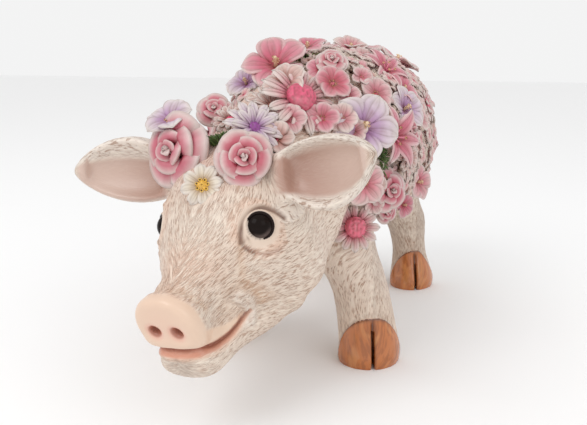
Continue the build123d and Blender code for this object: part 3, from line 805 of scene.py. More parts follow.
def make_head(fur):
    names = ["head_casting", "left_ear", "right_ear"]
    balls = [ball_arrays(centre, eye_radius + 0.1) for centre in eye_centres.values()]
    skin = fused([cad_arrays(name) for name in names] + balls, head_voxel)
    skin.smooth(6)
    ears = ear_marks(skin)
    soften_head(skin, ears)
    local = to_head(skin.points)
    tree = skin.tree()
    near_eye = open_eyes(skin)

    # Creases of the eyelids
    lid_crease = line_gap(skin, tree, eye_crease, 40)
    low_crease = line_gap(skin, tree, lower_crease, 24)
    outside_ball = soft_step(near_eye, 5.0, 5.8)
    amount = outside_ball * (-0.75 * bell(lid_crease, 0.75) + 0.45 * bell(lid_crease - 1.9, 0.9))
    amount += outside_ball * (-0.3 * bell(low_crease, 0.7) + 0.2 * bell(low_crease - 1.6, 0.9))

    # Mouth, lips and folds
    mouth, where, over = mouth_sides(skin)
    front_share = soft_step(where, 1.0, 0.35)
    lips = mouth / (0.4 + 0.6 * soft_step(where, 1.0, 0.6))
    above = soft_step(over, -0.45, 0.45)
    upper_band = soft_step(mouth, 1.4 + 5.5 * front_share, 0.6 + 4.6 * front_share) * above
    upper_band *= soft_step(where, 1.0, 0.9)
    lower_band = soft_step(mouth, 3.0, 2.0) * (1 - above)
    forward = local[:, 1] - 1.5 * soft_step(local[:, 2], 0, 9)
    disc = soft_step(forward, 46.0, 48.2) * above
    smooth_skin = np.maximum(upper_band, disc)
    amount += (-2.1 * bell(lips - 0.4, 0.95) + 0.45 * bell(lips - 2.6, 1.0)) * (1 - above)
    amount += 0.25 * bell(mouth - 1.6, 1.3) * above
    fold_near = line_gap(skin, tree, mouth_fold, 20)
    amount += 0.7 * bell(fold_near - 1.2, 1.0) - 0.45 * bell(fold_near - 3.0, 0.8)
    crease = np.zeros(len(skin.points))
    for line in face_folds:
        gap = line_gap(skin, tree, line, 16)
        crease = np.maximum(crease, bell(gap, 1.6))
        amount += 0.2 * bell(gap - 2.4, 1.4) - 0.3 * bell(gap, 1.3)
    skin.push(amount)
    skin.smooth(2, soft_step(near_eye, 5.5, 6.5))

    # Strokes
    flow = face_flow(skin, local, ears)
    bare = np.maximum(smooth_skin, soft_step(near_eye, 7.6, 6.6))
    bare = np.maximum(bare, 0.9 * bell(lid_crease, 1.1))
    bare = np.maximum(bare, 0.9 * lower_band)
    furry = skin.blurred(1 - bare, 2) * (1 - 0.9 * ears["inside"])
    half = np.where(ears["share"] > 0.5, ears["half"], np.sign(local[:, 0]))
    stroke = stroke_map(skin, flow, 60, half, 30)
    relief = 0.08 * stroke_relief(stroke, 1.3, 6, 3) + 0.10 * stroke_relief(stroke, 0.9, 5, 9)
    skin.push(relief * furry)

    # Paint
    patches = 0.5 + 0.5 * lumps(skin.points, 9, 21)
    bridge = soft_step(local[:, 2], -4, 8) * soft_step(local[:, 1], 22, 38)
    cheek = bell(mouth - 5, 5) * soft_step(local[:, 1], 44, 30) * (over > 0)
    off_ears = 1 - ears["share"]
    brow = soft_step(local[:, 2], 8, 20) * bell(local[:, 0], 14) * soft_step(local[:, 1], 28, 12) * off_ears
    top = soft_step(local[:, 2], 20, 28) * off_ears
    throat = soft_step(-local[:, 2], 12, 26) * soft_step(local[:, 1], 40, 10)
    inside = np.clip(ears["inside"], 0, 1)
    blush = bell(np.linalg.norm(local - (0, 51, -3), axis=1), 10)
    under = (1 - above) * (0.45 + 0.55 * front_share)
    duct = line_gap(skin, tree, tear_duct, 12)
    layers = [
        (0.6 * bridge * (0.5 + 0.5 * patches), peach),
        (0.75 * cheek * (0.45 + 0.55 * patches), tan),
        (0.3 * brow * patches, peach),
        (0.45 * top, crown_pink),
        (0.5 * bell(near_eye - 8.5, 2.6) * (0.4 + 0.6 * patches), peach),
        (0.4 * throat, throat_tan),
        (0.5 * crease, tan),
        # White on the ridge of the fold at the mouth's corner: a painted highlight
        (0.5 * bell(fold_near - 1.2, 1.6), rim_and_fold_highlight_white),
        (0.8 * inside, ear_pink),
        (0.75 * inside * soft_step(ears["along"], 0.75, 0.1), ear_brown),
        (0.7 * ears["rim"], rim_and_fold_highlight_white),
        (0.95 * smooth_skin, snout_cream),
        (0.3 * smooth_skin * blush, blush_pink),
        (0.85 * soft_step(lips, 4.3, 2.9) * under, lip_peach),
        (0.9 * soft_step(lips, 2.8, 1.9) * under, lip_pink),
        (0.95 * soft_step(lips, 1.5, 0.8) * (1 - above), mouth_brown),
        (0.9 * soft_step(near_eye, 7.8, 6.4), lid_cream),
        (0.9 * outside_ball * bell(lid_crease, 0.85), lid_brown),
        (0.5 * outside_ball * bell(low_crease, 0.8), ear_brown),
        (0.85 * bell(duct, 0.6), lid_brown),
        (soft_step(near_eye, *eye_paint_radii), outline_black),
    ]
    for side in (1, -1):
        nostril = from_head((side * nostril_aside, nostril_ahead, nostril_up))
        near = np.linalg.norm(skin.points - nostril, axis=1)
        layers.append((0.5 * soft_step(near, 4.2, 2.6), nostril_pink))
        layers.append((0.9 * soft_step(near, 2.9, 2.1), nostril_brown))
    tint = painted(skin.points, cream, layers)
    wash = (0.85 - 0.35 * ears["inside"]) * furry
    make_furred("head_skin", skin.points, skin.faces, fur, stroke, furry, wash, tint, "head_fur", *names)
    skin.core = skin.faces[ears["share"][skin.faces].max(axis=1) < 0.2]
    return skin


def hoop(centre, axis, radius, thickness):
    """A thin closed ring about an axis, for the dark edge of an eyelid."""
    turns, sides = 64, 10
    first = unit(np.cross(axis, head_crown))
    second = np.cross(axis, first)
    points, faces = [], []
    for i in range(turns):
        a = 2 * math.pi * i / turns
        outward = first * math.cos(a) + second * math.sin(a)
        for j in range(sides):
            b = 2 * math.pi * j / sides
            reach = radius + thickness * math.cos(b)
            points.append(centre + outward * reach + axis * thickness * math.sin(b))
            k, m = (i + 1) % turns, (j + 1) % sides
            faces.append([i * sides + j, k * sides + j, k * sides + m, i * sides + m])
    return np.array(points), faces


def make_eyes(gloss):
    for name, centre in eye_centres.items():
        out = eye_direction(name)
        ball = ball_arrays(centre, eye_radius, 32)
        ring = hoop(centre + out * lid_ring_forward, out, lid_ring_radius, lid_ring_thickness)
        points, faces = joined([ball, ring])
        facing = (points - centre) @ out / eye_radius
        below = (points - centre) @ -head_crown / eye_radius
        on_ring = np.arange(len(points)) >= len(ball[0])
        layers = [
            # Lighter brown on the lower rim of the eye: partly the iris's colour, partly a painted highlight
            # of light through the glass
            (0.8 * soft_step(facing, 0.88, 0.80) * soft_step(below, -0.1, 0.5), iris_and_highlight_brown),
            (soft_step(facing, 0.5, 0.42), eye_back_black),
            (on_ring.astype(float), outline_black),
        ]
        looks = {"tint": painted(points, eye_black, layers)}
        dress(make_object(f"{name}_eye_ball", points, faces, gloss, looks), "eye", f"{name}_eye")


# The torso, legs, hooves and tail

torso_middle = np.array([trunk_aside, 36.0, 83.0])

# Heights between which the flowers' ground begins, and between which the belly's and the ankles' colours do
coat_edge = (62, 68)
belly_fade = (66, 50)
ankle_fade = (40, 12)

# Where each foot stands, and how many degrees it turns to the pig's left
foot_centres = {
    "front_left": (42.19, -20.07, 22),
    "front_right": (-28.01, -20.07, -22),
    "rear_left": (39.99, 89.43, 22),
    "rear_right": (-25.81, 89.43, -22),
}
hoof_height = 19.5
nail_half_angle_deg = 78
nail_bulge = 0.7
cleft_depth = 1.3


def coat_height(points):
    """A point's height, made uneven so that the edge of the flowers isn't straight."""
    return points[:, 2] + 6 * lumps(points, 14, 2)


def make_torso(fur):
    skin = fused([cad_arrays("torso_casting")], torso_voxel)
    skin.smooth(4)
    away = skin.points - torso_middle
    angle = np.arctan2(away[:, 0], away[:, 2])
    side = np.sign(away[:, 0])
    flow = np.stack([0.3 * side, np.full(len(angle), 0.8), -0.6 * np.abs(np.sin(angle))], axis=1)
    stroke = stroke_map(skin, flow, 30, side)
    covered = soft_step(coat_height(skin.points), *coat_edge)
    furry = 1 - covered
    relief = furry * 0.2 * stroke_relief(stroke, 1.8, 7, 3)
    crumbs = np.maximum(0, lumps(skin.points, 2.4, 4)) + 0.6 * np.maximum(0, lumps(skin.points, 1.6, 8))
    skin.push(relief + covered * 1.3 * crumbs)
    layers = [(0.5 * soft_step(skin.points[:, 2], *belly_fade), belly_grey), (covered, coat_brown)]
    tint = painted(skin.points, cream * 0.95, layers)
    make_furred(
        "torso_skin", skin.points, skin.faces, fur, stroke, furry, furry, tint, "body_fur", "torso_casting"
    )
    return skin


def make_leg(name, fur, gloss):
    x, y, toe_out_deg = foot_centres[name]
    skin = fused([cad_arrays(f"{name}_leg"), cad_arrays(f"{name}_hoof")], leg_voxel)
    skin.smooth(3)
    turn = math.radians(toe_out_deg)
    front = np.array([math.sin(turn), -math.cos(turn), 0])
    side = np.array([math.cos(turn), math.sin(turn), 0])
    away = skin.points - (x, y, 0)
    local = np.stack([away @ side, away @ front, skin.points[:, 2]], axis=1)

    # The nail: a share of its half breadth across, and its upper edge
    across = np.degrees(np.arctan2(local[:, 0], local[:, 1] + 0.001)) / nail_half_angle_deg
    on_front = np.abs(across) < 1
    top = hoof_height * np.sqrt(np.clip(1 - np.abs(across) ** 2.6, 0, 1)) + 0.8
    nail = soft_step(top - local[:, 2], -0.35, 0.45) * on_front
    edge = bell(local[:, 2] - top, 0.9) * on_front
    cleft = bell(local[:, 0], 0.8) * (local[:, 1] > 0) * soft_step(hoof_height - local[:, 2], -1, 2)
    amount = nail_bulge * nail - 0.45 * bell(local[:, 2] - top - 0.9, 0.6) * on_front
    amount -= cleft_depth * cleft * nail
    skin.push(amount)
    flow = np.tile(np.array([0.12, 0.05, -1.0]), (len(skin.points), 1))
    flow[:, 0] += 0.2 * np.sin(skin.points[:, 2] / 9)
    stroke = stroke_map(skin, flow, 30, np.sign(local[:, 0]))
    furry = 1 - nail
    relief = 0.15 * stroke_relief(stroke, 1.5, 7, 3) + 0.1 * stroke_relief(stroke, 0.9, 5, 9)
    skin.push(relief * furry)
    tint = painted(skin.points, cream, [
        (0.45 * soft_step(skin.points[:, 2], *ankle_fade), ankle_peach),
        (0.35 * soft_step(local[:, 1], 2, -10), calf_grey),
    ])
    if name.startswith("rear"):
        tint = tint * rear_shade
    tint = paint_over(tint, nail, amber)
    wash = np.clip(0.85 * edge + 0.9 * cleft * nail, 0, 1) * nail + furry * 0.85
    on_nail = nail[skin.faces].mean(axis=1) > 0.5
    for key, chosen, material, slot, node in (
        ("fur", ~on_nail, fur, "body_fur", "leg"),
        ("nail", on_nail, gloss, "hoof", "hoof"),
    ):
        faces = skin.faces[chosen]
        used, index = np.unique(faces, return_inverse=True)
        looks = (values[used] for values in (stroke, furry, wash, tint))
        index = index.reshape(faces.shape)
        make_furred(
            f"{name}_{node}_{key}", skin.points[used], index, material, *looks, slot, f"{name}_{node}"
        )
    return skin


def make_tail(fur):
    skin = fused([cad_arrays("tail")], tail_voxel)
    skin.smooth(3)
    flow = np.tile(np.array([0, 1.0, 0.2]), (len(skin.points), 1))
    stroke = stroke_map(skin, flow, 30, np.sign(skin.normals[:, 2]))
    ones = np.ones(len(skin.points))
    tint = painted(skin.points, cream, [])
    make_furred("tail_skin", skin.points, skin.faces, fur, stroke, ones, ones, tint, "body_fur", "tail")


# Flowers: petals as closed thin shells, with their own paint

# Petal paints: base, middle and tip
pink_paint = ((0.62, 0.07, 0.14), (0.76, 0.20, 0.30), (0.82, 0.46, 0.49))
pale_pink_paint = ((0.64, 0.12, 0.19), (0.80, 0.36, 0.41), (0.85, 0.63, 0.61))
white_pink_paint = ((0.70, 0.15, 0.23), (0.82, 0.47, 0.48), (0.86, 0.75, 0.69))
deep_pink_paint = ((0.52, 0.03, 0.08), (0.70, 0.13, 0.21), (0.79, 0.38, 0.42))
lilac_paint = ((0.33, 0.09, 0.36), (0.58, 0.34, 0.60), (0.78, 0.66, 0.74))
pale_lilac_paint = ((0.42, 0.17, 0.46), (0.72, 0.56, 0.72), (0.88, 0.82, 0.80))
cream_paint = ((0.50, 0.32, 0.14), (0.86, 0.76, 0.60), (0.91, 0.86, 0.77))
beige_paint = ((0.42, 0.27, 0.19), (0.68, 0.54, 0.44), (0.84, 0.75, 0.66))
brown_pink_paint = ((0.42, 0.15, 0.12), (0.72, 0.42, 0.38), (0.86, 0.72, 0.65))

# Colours of the petals' rims and of what stands in the flowers' middles
petal_rim_white = (0.88, 0.81, 0.76)
rose_rim_white = (0.87, 0.78, 0.73)
rose_heart, rose_edge = (0.50, 0.035, 0.09), (0.86, 0.44, 0.48)
daisy_eye = (0.66, 0.07, 0.15)
star_button, star_cushion, star_bead = (0.36, 0.16, 0.04), (0.74, 0.42, 0.05), (0.86, 0.56, 0.10)
mallow_stamen = (0.88, 0.66, 0.42)
lily_anther = (0.80, 0.52, 0.30)
blossom_eye, blossom_anther = (0.55, 0.10, 0.16), (0.86, 0.60, 0.32)
moss_green = np.array((0.09, 0.17, 0.045))


class Pile:
    """Closed shapes gathered into one mesh, with the paint on each point."""

    def __init__(self):
        self.shapes = []
        self.count = 0

    def add(self, points, faces, tint, wash):
        self.shapes.append((points, faces + self.count, tint, wash))
        self.count += len(points)

    def plain(self, points, faces, color, wash):
        self.add(points, faces, np.tile(np.array(color), (len(points), 1)), np.full(len(points), wash))

    def place(self, other, matrix, origin):
        """Adds another pile, turned and moved."""
        for points, faces, tint, wash in other.shapes:
            self.shapes.append((points @ matrix.T + origin, faces + self.count, tint, wash))
        self.count += other.count

    def make(self, name, material, slot, *nodes):
        points, faces, tint, wash = (np.concatenate(values) for values in zip(*self.shapes))
        dress(make_object(name, points, faces, material, {"tint": tint, "wash": wash}), slot, *nodes)


def shell(top, thickness, tint, wash):
    """A closed leaf from a grid of its upper points; its lower side lies a thickness below and is painted
    darker, as painted shade, with more brown wash.
    """
    rows, columns = top.shape[:2]
    count = rows * columns
    normal = np.cross(np.gradient(top, axis=1), np.gradient(top, axis=0))
    normal /= np.maximum(np.linalg.norm(normal, axis=2, keepdims=True), 1e-9)
    bottom = top - normal * thickness[..., None]
    points = np.concatenate([top.reshape(-1, 3), bottom.reshape(-1, 3)])
    index = np.arange(count).reshape(rows, columns)
    cells = [index[:-1, :-1], index[:-1, 1:], index[1:, 1:], index[1:, :-1]]
    upper = np.stack(cells, axis=-1).reshape(-1, 4)
    lower = upper[:, [0, 3, 2, 1]] + count
    loop = np.concatenate([index[0, :-1], index[:-1, -1], index[-1, :0:-1], index[:0:-1, 0]])
    after = np.roll(loop, -1)
    rim = np.stack([after, loop, loop + count, after + count], axis=-1)
    # The lower side is painted 15% darker, a painted shade, and takes more brown wash
    tints_with_shaded_undersides = np.concatenate([tint.reshape(-1, 3), tint.reshape(-1, 3) * 0.85])
    washes = np.concatenate([wash.ravel(), np.clip(wash.ravel() + 0.25, 0, 1)])
    return points, np.concatenate([upper, lower, rim]), tints_with_shaded_undersides, washes


def petal_grid(rows, columns):
    """Places up a petal, from 0 to 1, and across it, from -1 to 1."""
    v = np.linspace(0, 1, rows)[:, None] * np.ones((1, columns))
    u = np.linspace(-1, 1, columns)[None, :] * np.ones((rows, 1))
    return v, u


def petal(
    random, colors, length, width, rise_deg, fall_deg, start, waist, cup, ridge, ribs, thickness, roll,
    fullness=0.62, point=0.0, ruffle=0.06, grid=(15, 13),
):
    """One petal along +X from the flower's middle. It rises at rise_deg and ends at fall_deg."""
    v, u = petal_grid(*grid)
    body = waist + (1 - waist) * np.sin(0.5 * math.pi * np.clip(v / fullness, 0, 1)) ** 1.2
    tip = np.clip((v - fullness) / (1 - fullness), 0, 1)
    round_tip = np.sqrt(np.clip(1 - tip**2, 0, 1))
    sharp_tip = 1 - tip
    half = width / 2 * body * ((1 - point) * round_tip + point * sharp_tip)
    half = np.maximum(half, 0.04 * width * (1 - 0.9 * tip))
    slope = np.radians(rise_deg + (fall_deg - rise_deg) * v[:, 0] ** 1.2)
    step = length / (grid[0] - 1)
    reach = start + np.concatenate([[0], np.cumsum(np.cos(slope)[:-1] * step)])
    height = np.concatenate([[0], np.cumsum(np.sin(slope)[:-1] * step)])
    phase = random.uniform(0, 6.28, 3)
    edge = np.abs(u)
    vein = np.cos(ribs * math.pi * u + 0.4 * np.sin(3 * v + phase[0]))
    envelope = np.sin(math.pi * np.clip(v, 0.02, 1)) ** 0.5 * (1 - 0.4 * edge)
    lift = cup * half * (u**2) * (0.35 + 0.65 * v)
    lift = lift + ridge * vein * envelope - 2.2 * ridge * bell(u, 0.14) * (1 - v) ** 0.5
    lift = lift + ruffle * half * np.sin(7 * v + phase[1] + 1.5 * np.sign(u)) * edge**3
    lift = lift - 0.35 * ridge * bell(edge - 1, 0.12)
    lift = lift + roll * half * u
    x = reach[:, None] - lift * np.sin(slope)[:, None]
    z = height[:, None] + lift * np.cos(slope)[:, None]
    top = np.stack([x, half * u, z], axis=2)
    inner, middle, outer = (np.array(c) for c in colors)
    share = np.clip((v - 0.12) * 2, 0, 1)[..., None]
    far = np.clip(v * 1.7 - 0.7, 0, 1)[..., None]
    tint = inner + (middle - inner) * share
    tint = tint + (outer - tint) * far**1.3
    rim = soft_step(edge, 0.55, 1.0) * 0.55 + soft_step(v, 0.75, 1) * 0.45
    tint = tint + (petal_rim_white - tint) * np.clip(rim * soft_step(v, 0.15, 0.6), 0, 1)[..., None]
    tint = tint * (1 + 0.12 * vein * envelope)[..., None]
    wash = 0.8 * np.clip(1 - v / 0.3, 0, 1) ** 1.3 + 0.42 * soft_step(-vein, 0.3, 1.0) * (1 - v) ** 0.6
    wash = wash + 0.55 * bell(u, 0.1) * (1 - v) ** 0.7
    thick = thickness * (0.35 + 0.65 * (1 - edge**4)) * (0.5 + 0.5 * (1 - v**5))
    return shell(top, thick, np.clip(tint, 0, 1), np.clip(wash, 0, 1))


def spun(angle_deg):
    a = math.radians(angle_deg)
    return np.array([[math.cos(a), -math.sin(a), 0], [math.sin(a), math.cos(a), 0], [0, 0, 1]])


def around(angle, reach, height):
    """A place beside the flower's axis."""
    return np.array([reach * math.cos(angle), reach * math.sin(angle), height])


def tube_quads(index):
    """The faces between the rings of a tube, from its rows of points."""
    after = np.roll(index, -1, axis=1)
    return np.stack([index[:-1], index[1:], after[1:], after[:-1]], axis=-1).reshape(-1, 4)


def dome(pile, radius, height, lift, color, random, wash, grain=0.0, columns=26, rows=10):
    """A grained button on the flower's middle."""
    turns = np.linspace(0, 2 * math.pi, columns, endpoint=False)
    v, u = np.meshgrid(np.linspace(0, 1, rows), turns, indexing="ij")
    r = radius * np.sin(0.5 * math.pi * v) ** 0.8
    x, y, z = r * np.cos(u), r * np.sin(u), height * np.cos(0.5 * math.pi * v) + lift
    bumps = lumps(np.stack([x, y, z], axis=-1), max(grain * 2.2, 0.1), int(random.integers(99)))
    points = np.stack([x, y, z + grain * bumps], axis=-1).reshape(-1, 3)
    base = points[-columns:].copy()
    base[:, 2] = lift - 1.0
    faces = tube_quads(np.arange((rows + 1) * columns).reshape(rows + 1, columns))
    shade = np.clip(np.concatenate([bumps.ravel(), np.full(columns, -1)]), -1, 1)
    tint = np.array(color) * (1 + 0.22 * shade)[:, None]
    wash = np.clip(wash - 0.8 * shade * grain, 0, 1)
    pile.add(np.concatenate([points, base]), faces, np.clip(tint, 0, 1), wash)


def bead(pile, place, radius, color, wash, rings=6):
    points, faces = ball_arrays(place, radius, rings)
    quads = np.array([(face + face[-1:])[:4] for face in faces])
    pile.plain(points, quads, color, wash)


def rod(pile, path, radii, color, wash=0.2, sides=8):
    """A round rod along a path."""
    path = np.asarray(path, float)
    way = np.gradient(path, axis=0)
    way /= np.linalg.norm(way, axis=1, keepdims=True)
    side = np.cross(way, (0.3, 0.2, 0.93))
    side /= np.maximum(np.linalg.norm(side, axis=1, keepdims=True), 1e-9)
    other = np.cross(way, side)
    a = np.linspace(0, 2 * math.pi, sides, endpoint=False)
    ring = side[:, None] * np.cos(a)[None, :, None] + other[:, None] * np.sin(a)[None, :, None]
    points = (path[:, None] + ring * np.asarray(radii)[:, None, None]).reshape(-1, 3)
    index = np.arange(len(points)).reshape(len(path), sides)
    faces = [tube_quads(index)[:, [0, 3, 2, 1]]]
    for end in (index[0][::-1], index[-1]):
        faces.append(np.array([[end[0], *end[i:i + 3]] for i in range(1, sides - 2, 2)]))
    pile.plain(points, np.concatenate(faces), color, wash)


def whorl(pile, r, count, random, lift, turn=0.0, jitter=6.0, **shares):
    """Petals all round a middle. Their lengths are shares of the flower's radius r."""
    for i in range(count):
        values = dict(shares)
        for key in ("length", "width", "start", "ridge", "thickness"):
            values[key] *= r
        values["length"] *= random.uniform(0.93, 1.05)
        values["rise_deg"] += random.uniform(-jitter, jitter)
        values["fall_deg"] += random.uniform(-jitter, jitter)
        values["roll"] = random.uniform(-0.2, 0.2)
        points, faces, tint, wash = petal(random, **values)
        matrix = spun(turn + 360 * i / count + random.uniform(-jitter, jitter) * 0.5)
        pile.add(points @ matrix.T + (0, 0, lift), faces, tint, wash)


def rose(size, random, inner=rose_heart, outer=rose_edge, layers=15, open_share=1.0):
    """A rose: petals wrapped round an axis, each one wider and more open than the one inside it."""
    pile = Pile()
    radius = 10 * size
    v, u = petal_grid(14, 17)
    edge = np.abs(u)
    ripple = np.sin(14 * u + 4 * v)
    shape = 1 - 0.30 * edge**2.4
    fade = np.clip(0.9 * soft_step(v, 0.55, 1.0), 0, 1)[..., None]
    shade = np.array(inner) + (np.array(outer) - inner) * fade
    wash = 0.8 * (1 - soft_step(v, 0.15, 0.6)) + 0.14 * soft_step(ripple, 0.5, 1) * (1 - v)
    thick = radius * 0.11 * (0.5 + 0.5 * (1 - edge**4)) * np.ones_like(v)
    for k in range(layers):
        f = min(1, k / (layers - 4))
        wrap = math.radians(100 - 50 * f)
        base = radius * (0.06 + 0.42 * f)
        flare = radius * open_share * (0.02 + 0.46 * f**1.4)
        height = radius * (0.86 - 0.36 * f) * (1 - 0.06 * random.random())
        r = base * (0.6 + 0.4 * v**0.5) + flare * v**1.9
        r = r + radius * 0.13 * (0.25 + f) * soft_step(v, 0.72, 1.0) - 0.12 * radius * (1 - f) * v**2
        r = r * (1 - 0.16 * f * v * edge**2.4)
        z = height * shape * np.sin(0.5 * math.pi * v**0.9) - radius * 0.20 * f * soft_step(v, 0.70, 1.0)
        z = z + radius * (0.03 * np.sin(4 * u + 6.28 * random.random()) * v - 0.04 * max(0, k - layers + 5))
        theta = k * 2.42 + u * wrap * (0.75 + 0.25 * v) + 0.05 * np.sin(9 * v + 6 * u)
        top = np.stack([r * np.cos(theta), r * np.sin(theta), z], axis=2)
        rim = soft_step(v, 0.76, 1.0) * (0.65 + 0.3 * f) + 0.6 * f * soft_step(edge, 0.55, 1.0) * v
        rim = np.maximum(rim, 0.75 * (k < 3))[..., None]
        tint = shade + (rose_rim_white - shade) * np.clip(rim, 0, 0.9)
        tint = tint * (1 + 0.04 * ripple)[..., None]
        pile.add(*shell(top, thick, np.clip(tint, 0, 1), np.clip(wash, 0, 1)))
    dome(pile, radius * 0.5, radius * 0.25, 0, inner, random, 0.8)
    return pile


def bud(size, random):
    return rose(size * 1.05, random, pink_paint[0], pink_paint[2], layers=7, open_share=0.35)


def daisy(size, random, paint=white_pink_paint, eye=daisy_eye, count=13, disc=0.3, double=True):
    pile = Pile()
    r = 10 * size
    start = disc - 0.12
    width = (2.3 if double else 1.85) * math.pi * (disc + 1) / 2 / count
    values = dict(colors=paint, start=start, waist=0.4, fullness=0.66, cup=0.4, ribs=2)
    whorl(pile, r, count, random, lift=0.4, length=1.02 - start, width=width, rise_deg=26 if double else 12,
          fall_deg=-18, ridge=0.014, thickness=0.12, **values)
    if double:
        whorl(pile, r, max(6, count - 4), random, turn=14, lift=1.0, length=0.8 - start, width=0.8 * width,
              rise_deg=42, fall_deg=0, ridge=0.012, thickness=0.1, **values)
    dome(pile, disc * r, 0.55 * disc * r, 0.2 * r, eye, random, 0.2, grain=0.35, columns=64, rows=22)
    return pile


def star(size, random, paint=cream_paint, eye=star_bead):
    pile = Pile()
    r = 10 * size
    whorl(pile, r, 8, random, lift=0.3, length=0.92, width=0.62, rise_deg=18, fall_deg=-4, colors=paint,
          start=0.12, waist=0.5, fullness=0.7, point=0.05, cup=0.3, ridge=0.022, ribs=2, ruffle=0.12,
          thickness=0.14)
    dome(pile, 0.34 * r, 0.16 * r, 0.10 * r, star_button, random, 0.6, grain=0.03 * r)
    dome(pile, 0.26 * r, 0.14 * r, 0.18 * r, star_cushion, random, 0.1, grain=0.04 * r)
    for i in range(7):
        bead(pile, around(2 * math.pi * i / 7, 0.27 * r, 0.22 * r), 0.10 * r, eye, 0.05)
    bead(pile, (0, 0, 0.27 * r), 0.1 * r, eye, 0.05)
    return pile


def mallow(size, random, paint=lilac_paint):
    pile = Pile()
    r = 10 * size
    whorl(pile, r, 5, random, lift=0.2, jitter=9, length=1.08, width=1.0, rise_deg=34, fall_deg=-14,
          colors=paint, start=0.08, waist=0.22, fullness=0.66, point=0.35, cup=0.28, ridge=0.022, ribs=4,
          ruffle=0.10, thickness=0.11, grid=(17, 17))
    path = np.array([(0, 0, 0.1), (0.02, 0, 0.3), (0.06, 0.02, 0.52)]) * r
    rod(pile, path, [0.07 * r, 0.06 * r, 0.05 * r], mallow_stamen)
    for i in range(8):
        place = around(2.4 * i, 0.09 * r, (0.3 + 0.03 * i) * r) + (0.04 * r, 0, 0)
        bead(pile, place, 0.04 * r, mallow_stamen, 0.1, 4)
    return pile


def lily(size, random, paint=pale_pink_paint):
    pile = Pile()
    r = 10 * size
    whorl(pile, r, 6, random, lift=0.2, jitter=9, length=1.25, width=0.52, rise_deg=52, fall_deg=-28,
          colors=paint, start=0.08, waist=0.4, fullness=0.5, point=0.6, cup=0.5, ridge=0.02, ribs=2,
          thickness=0.11)
    for i in range(4):
        a = 1.57 * i + 0.4
        tip = around(a, 0.28 * r, 0.52 * r)
        rod(pile, [(0, 0, 0.1 * r), around(a, 0.1 * r, 0.34 * r), tip], [0.03 * r] * 3, paint[1], 0.1, 6)
        bead(pile, tip, 0.055 * r, lily_anther, 0.2, 4)
    return pile


def blossom(size, random, paint=pale_pink_paint, eye=blossom_eye):
    pile = Pile()
    r = 10 * size
    whorl(pile, r, 5, random, lift=0.2, length=0.95, width=1.0, rise_deg=30, fall_deg=0, colors=paint,
          start=0.08, waist=0.3, fullness=0.6, cup=0.3, ridge=0.016, ribs=3, ruffle=0.08, thickness=0.11)
    dome(pile, 0.16 * r, 0.10 * r, 0.10 * r, eye, random, 0.3, grain=0.04 * r)
    for i in range(5):
        bead(pile, around(2 * math.pi * (i + 0.5) / 5, 0.17 * r, 0.2 * r), 0.05 * r, blossom_anther, 0.1, 4)
    return pile


def grains(size, random):
    """A heap of small round grains."""
    pile = Pile()
    for _ in range(16):
        a, out = random.uniform(0, 6.28), 4.2 * size * random.uniform(0, 1) ** 0.5
        place = around(a, out, 0.9 * size * (1 - (out / (4.8 * size)) ** 2) + 0.2)
        share = random.uniform(0, 1)
        color = np.array(beige_paint[1]) * (1 - share) + np.array(beige_paint[2]) * share
        radius = random.uniform(0.75, 1.35) * size
        bead(pile, place, radius, color * random.uniform(0.72, 1.0), random.uniform(0.05, 0.4))
    return pile


def floret(size, random, paint):
    pile = Pile()
    r = 3.5 * size
    whorl(pile, r, 5, random, lift=0.1, jitter=12, length=0.95, width=0.95, rise_deg=40, fall_deg=-10,
          colors=paint, start=0.1, waist=0.4, cup=0.3, ridge=0.05, ribs=1, thickness=0.28, grid=(6, 7))
    bead(pile, (0, 0, 0.35 * r), 0.22 * r, paint[0], 0.3, 5)
    return pile


def tuft(random):
    """Moss as a clump of bent blades."""
    pile = Pile()
    for _ in range(70):
        a, out = random.uniform(0, 6.28), random.uniform(0, 1) ** 0.5
        length = random.uniform(2.6, 4.2)
        base = around(a, 1, 0) * out * 3.6
        way = around(a, 0.25 + 0.8 * out, 1.0)
        bend = np.array([random.uniform(-0.5, 0.5), random.uniform(-0.5, 0.5), -0.25])
        path = [base + way * length * t + bend * length * t * t for t in (0, 0.35, 0.7, 1.0)]
        rod(pile, path, [0.34, 0.32, 0.24, 0.08], moss_green * random.uniform(0.6, 1.7), 0.1, 5)
    return pile


